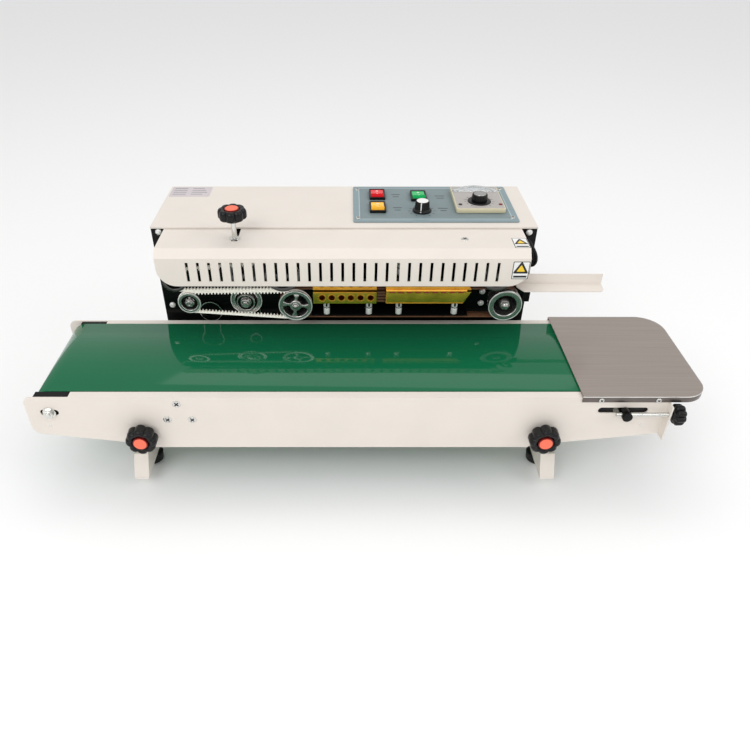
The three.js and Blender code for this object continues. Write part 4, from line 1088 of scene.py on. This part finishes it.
def in_cooling_holes(profile, round_by):
    """One turned shape in every cooling hole, its profile measured from the block's front."""
    shapes = []
    for x in COOLING_HOLES:
        for level in ("lower", "upper"):
            low, high = span("cooler_" + level)
            at = (x, 0, (low.z + high.z) / 2)
            shapes.append(turned([(r, low.y + t) for r, t in profile], "y", at, 28, round_by=round_by))
    return shapes


def heater_details():
    """The heater's flange with its row of slots and its frame, and what shows of the cooling blocks; the
    flange, frame, block edges and hole rims take a lighter gold as painted highlight, and the slots, hole
    floors and sheets over the upper blocks are dark as painted shade.
    """
    lower, upper = span("heater_lower"), span("heater_upper")
    x0, x1, z0, front = lower[0].x, lower[1].x, lower[0].z, lower[0].y
    low, high = lower[1].z, upper[0].z
    flange = box_outline(x0 + 0.4, x1 - 6, front - 1.1, front - 0.05, 0.2)
    block_detail("heater_flange", [cut_sheet([flange], low - 1.2, high + 1.4, "z", 0.12)])
    # Dark dashes over the flange stand for its slots as painted shade.
    dashes = []
    for i in range(9):
        x = x0 + 5 + i * 11.4
        dashes.append(block(x, x + 7.4, front - 1.5, front - 1.1, low - 1.0, low + 0.7))
    piece("heater_slot_shade", merged(dashes), "black_paint", look="dark_red")
    for name in ("lower", "upper"):
        a, b = span("cooler_" + name)
        edge_z = (b.z - 1.8, b.z - 0.4) if name == "lower" else (a.z + 0.4, a.z + 1.8)
        strip = block(a.x + 0.5, b.x - 0.5, a.y - 0.5, a.y - 0.05, *edge_z)
        block_detail(f"cooler_{name}_edge", [strip], bevel=0.15)
    ring = [(4.3, -0.05), (5.3, -0.05), (5.1, -0.7), (4.5, -0.7), (4.3, -0.05)]
    block_detail("cooler_rims", in_cooling_holes(ring, 0.15))
    # Dark red discs deep in the cooling holes are painted shade.
    block_detail("cooler_hole_shade", in_cooling_holes(rod(4.25, 15, 16), 0.05), "dark_red")
    # Dark sheets over the upper blocks' tops and fronts are painted shade, which keeps their gold from
    # showing through the guard's slots.
    upper_shade_sheets = []
    for node in ("cooler_upper", "heater_upper"):
        a, b = span(node)
        upper_shade_sheets += [block(a.x, b.x, a.y - 0.9, b.y, b.z + 0.1, b.z + 0.8),
                 block(a.x, b.x, a.y - 0.9, a.y - 0.2, b.z - 12, b.z + 0.8)]
    piece("upper_block_shade_sheets", merged(upper_shade_sheets), "black_paint")
    block_detail("heater_frame", [block(24.4, 25.6, front - 0.5, front - 0.05, z0 + 0.4, low - 1.4),
                           block(24.4, x1 - 10, front - 0.5, front - 0.05, z0 + 0.3, z0 + 1.5)], bevel=0.15)
    spacer = [block(12.6, 23.4, -45, -28, z, z + 3) for z in (205.5, 210, 214.5, 218.6)]
    block_detail("spacer_plates", spacer, "copper_plate", 0.2)


def lead():
    keep_cad("heater_lead", "rubber", "root", 0.0)
    twin = moved(cad_copy("heater_lead"), Matrix.Translation((-3.2, 1.4, 0)))
    piece("heater_lead_twin", twin, "rubber")


def inside():
    keep_cad("drive_motor", "black_paint", "root", 0.8)
    keep_cad("cooling_fan", "black_plastic", "root", 0.4)
    keep_cad("fan_rotor", "black_plastic", "fan_rotor", 0.3)
    low, high = span("pressure_shoe")
    shoe = turned(rod(5.5, low.z, high.z), "z", on_axis("pressure_shoe", "z"), 32)
    piece("pressure_shoe_turned", shoe, "polished_steel", "pressure_shoe", ["pressure_shoe"])
    low, high = span("drive_roller")
    roller("drive_roller", 5, (high.z - low.z) / 2)


make_camera()
make_studio()
conveyor()
arms_and_feet()
head_covers()
controls()
pressure()
for level in ("lower", "upper"):
    drive_wheel(level)
    idler_wheel(level)
    guide_pulley(level)
    emboss_roller(level)
    keep_cad("gear_" + level, "polished_steel", "drive_" + level, 0.3)
    belts(level)
sealing_blocks()
lead()
inside()
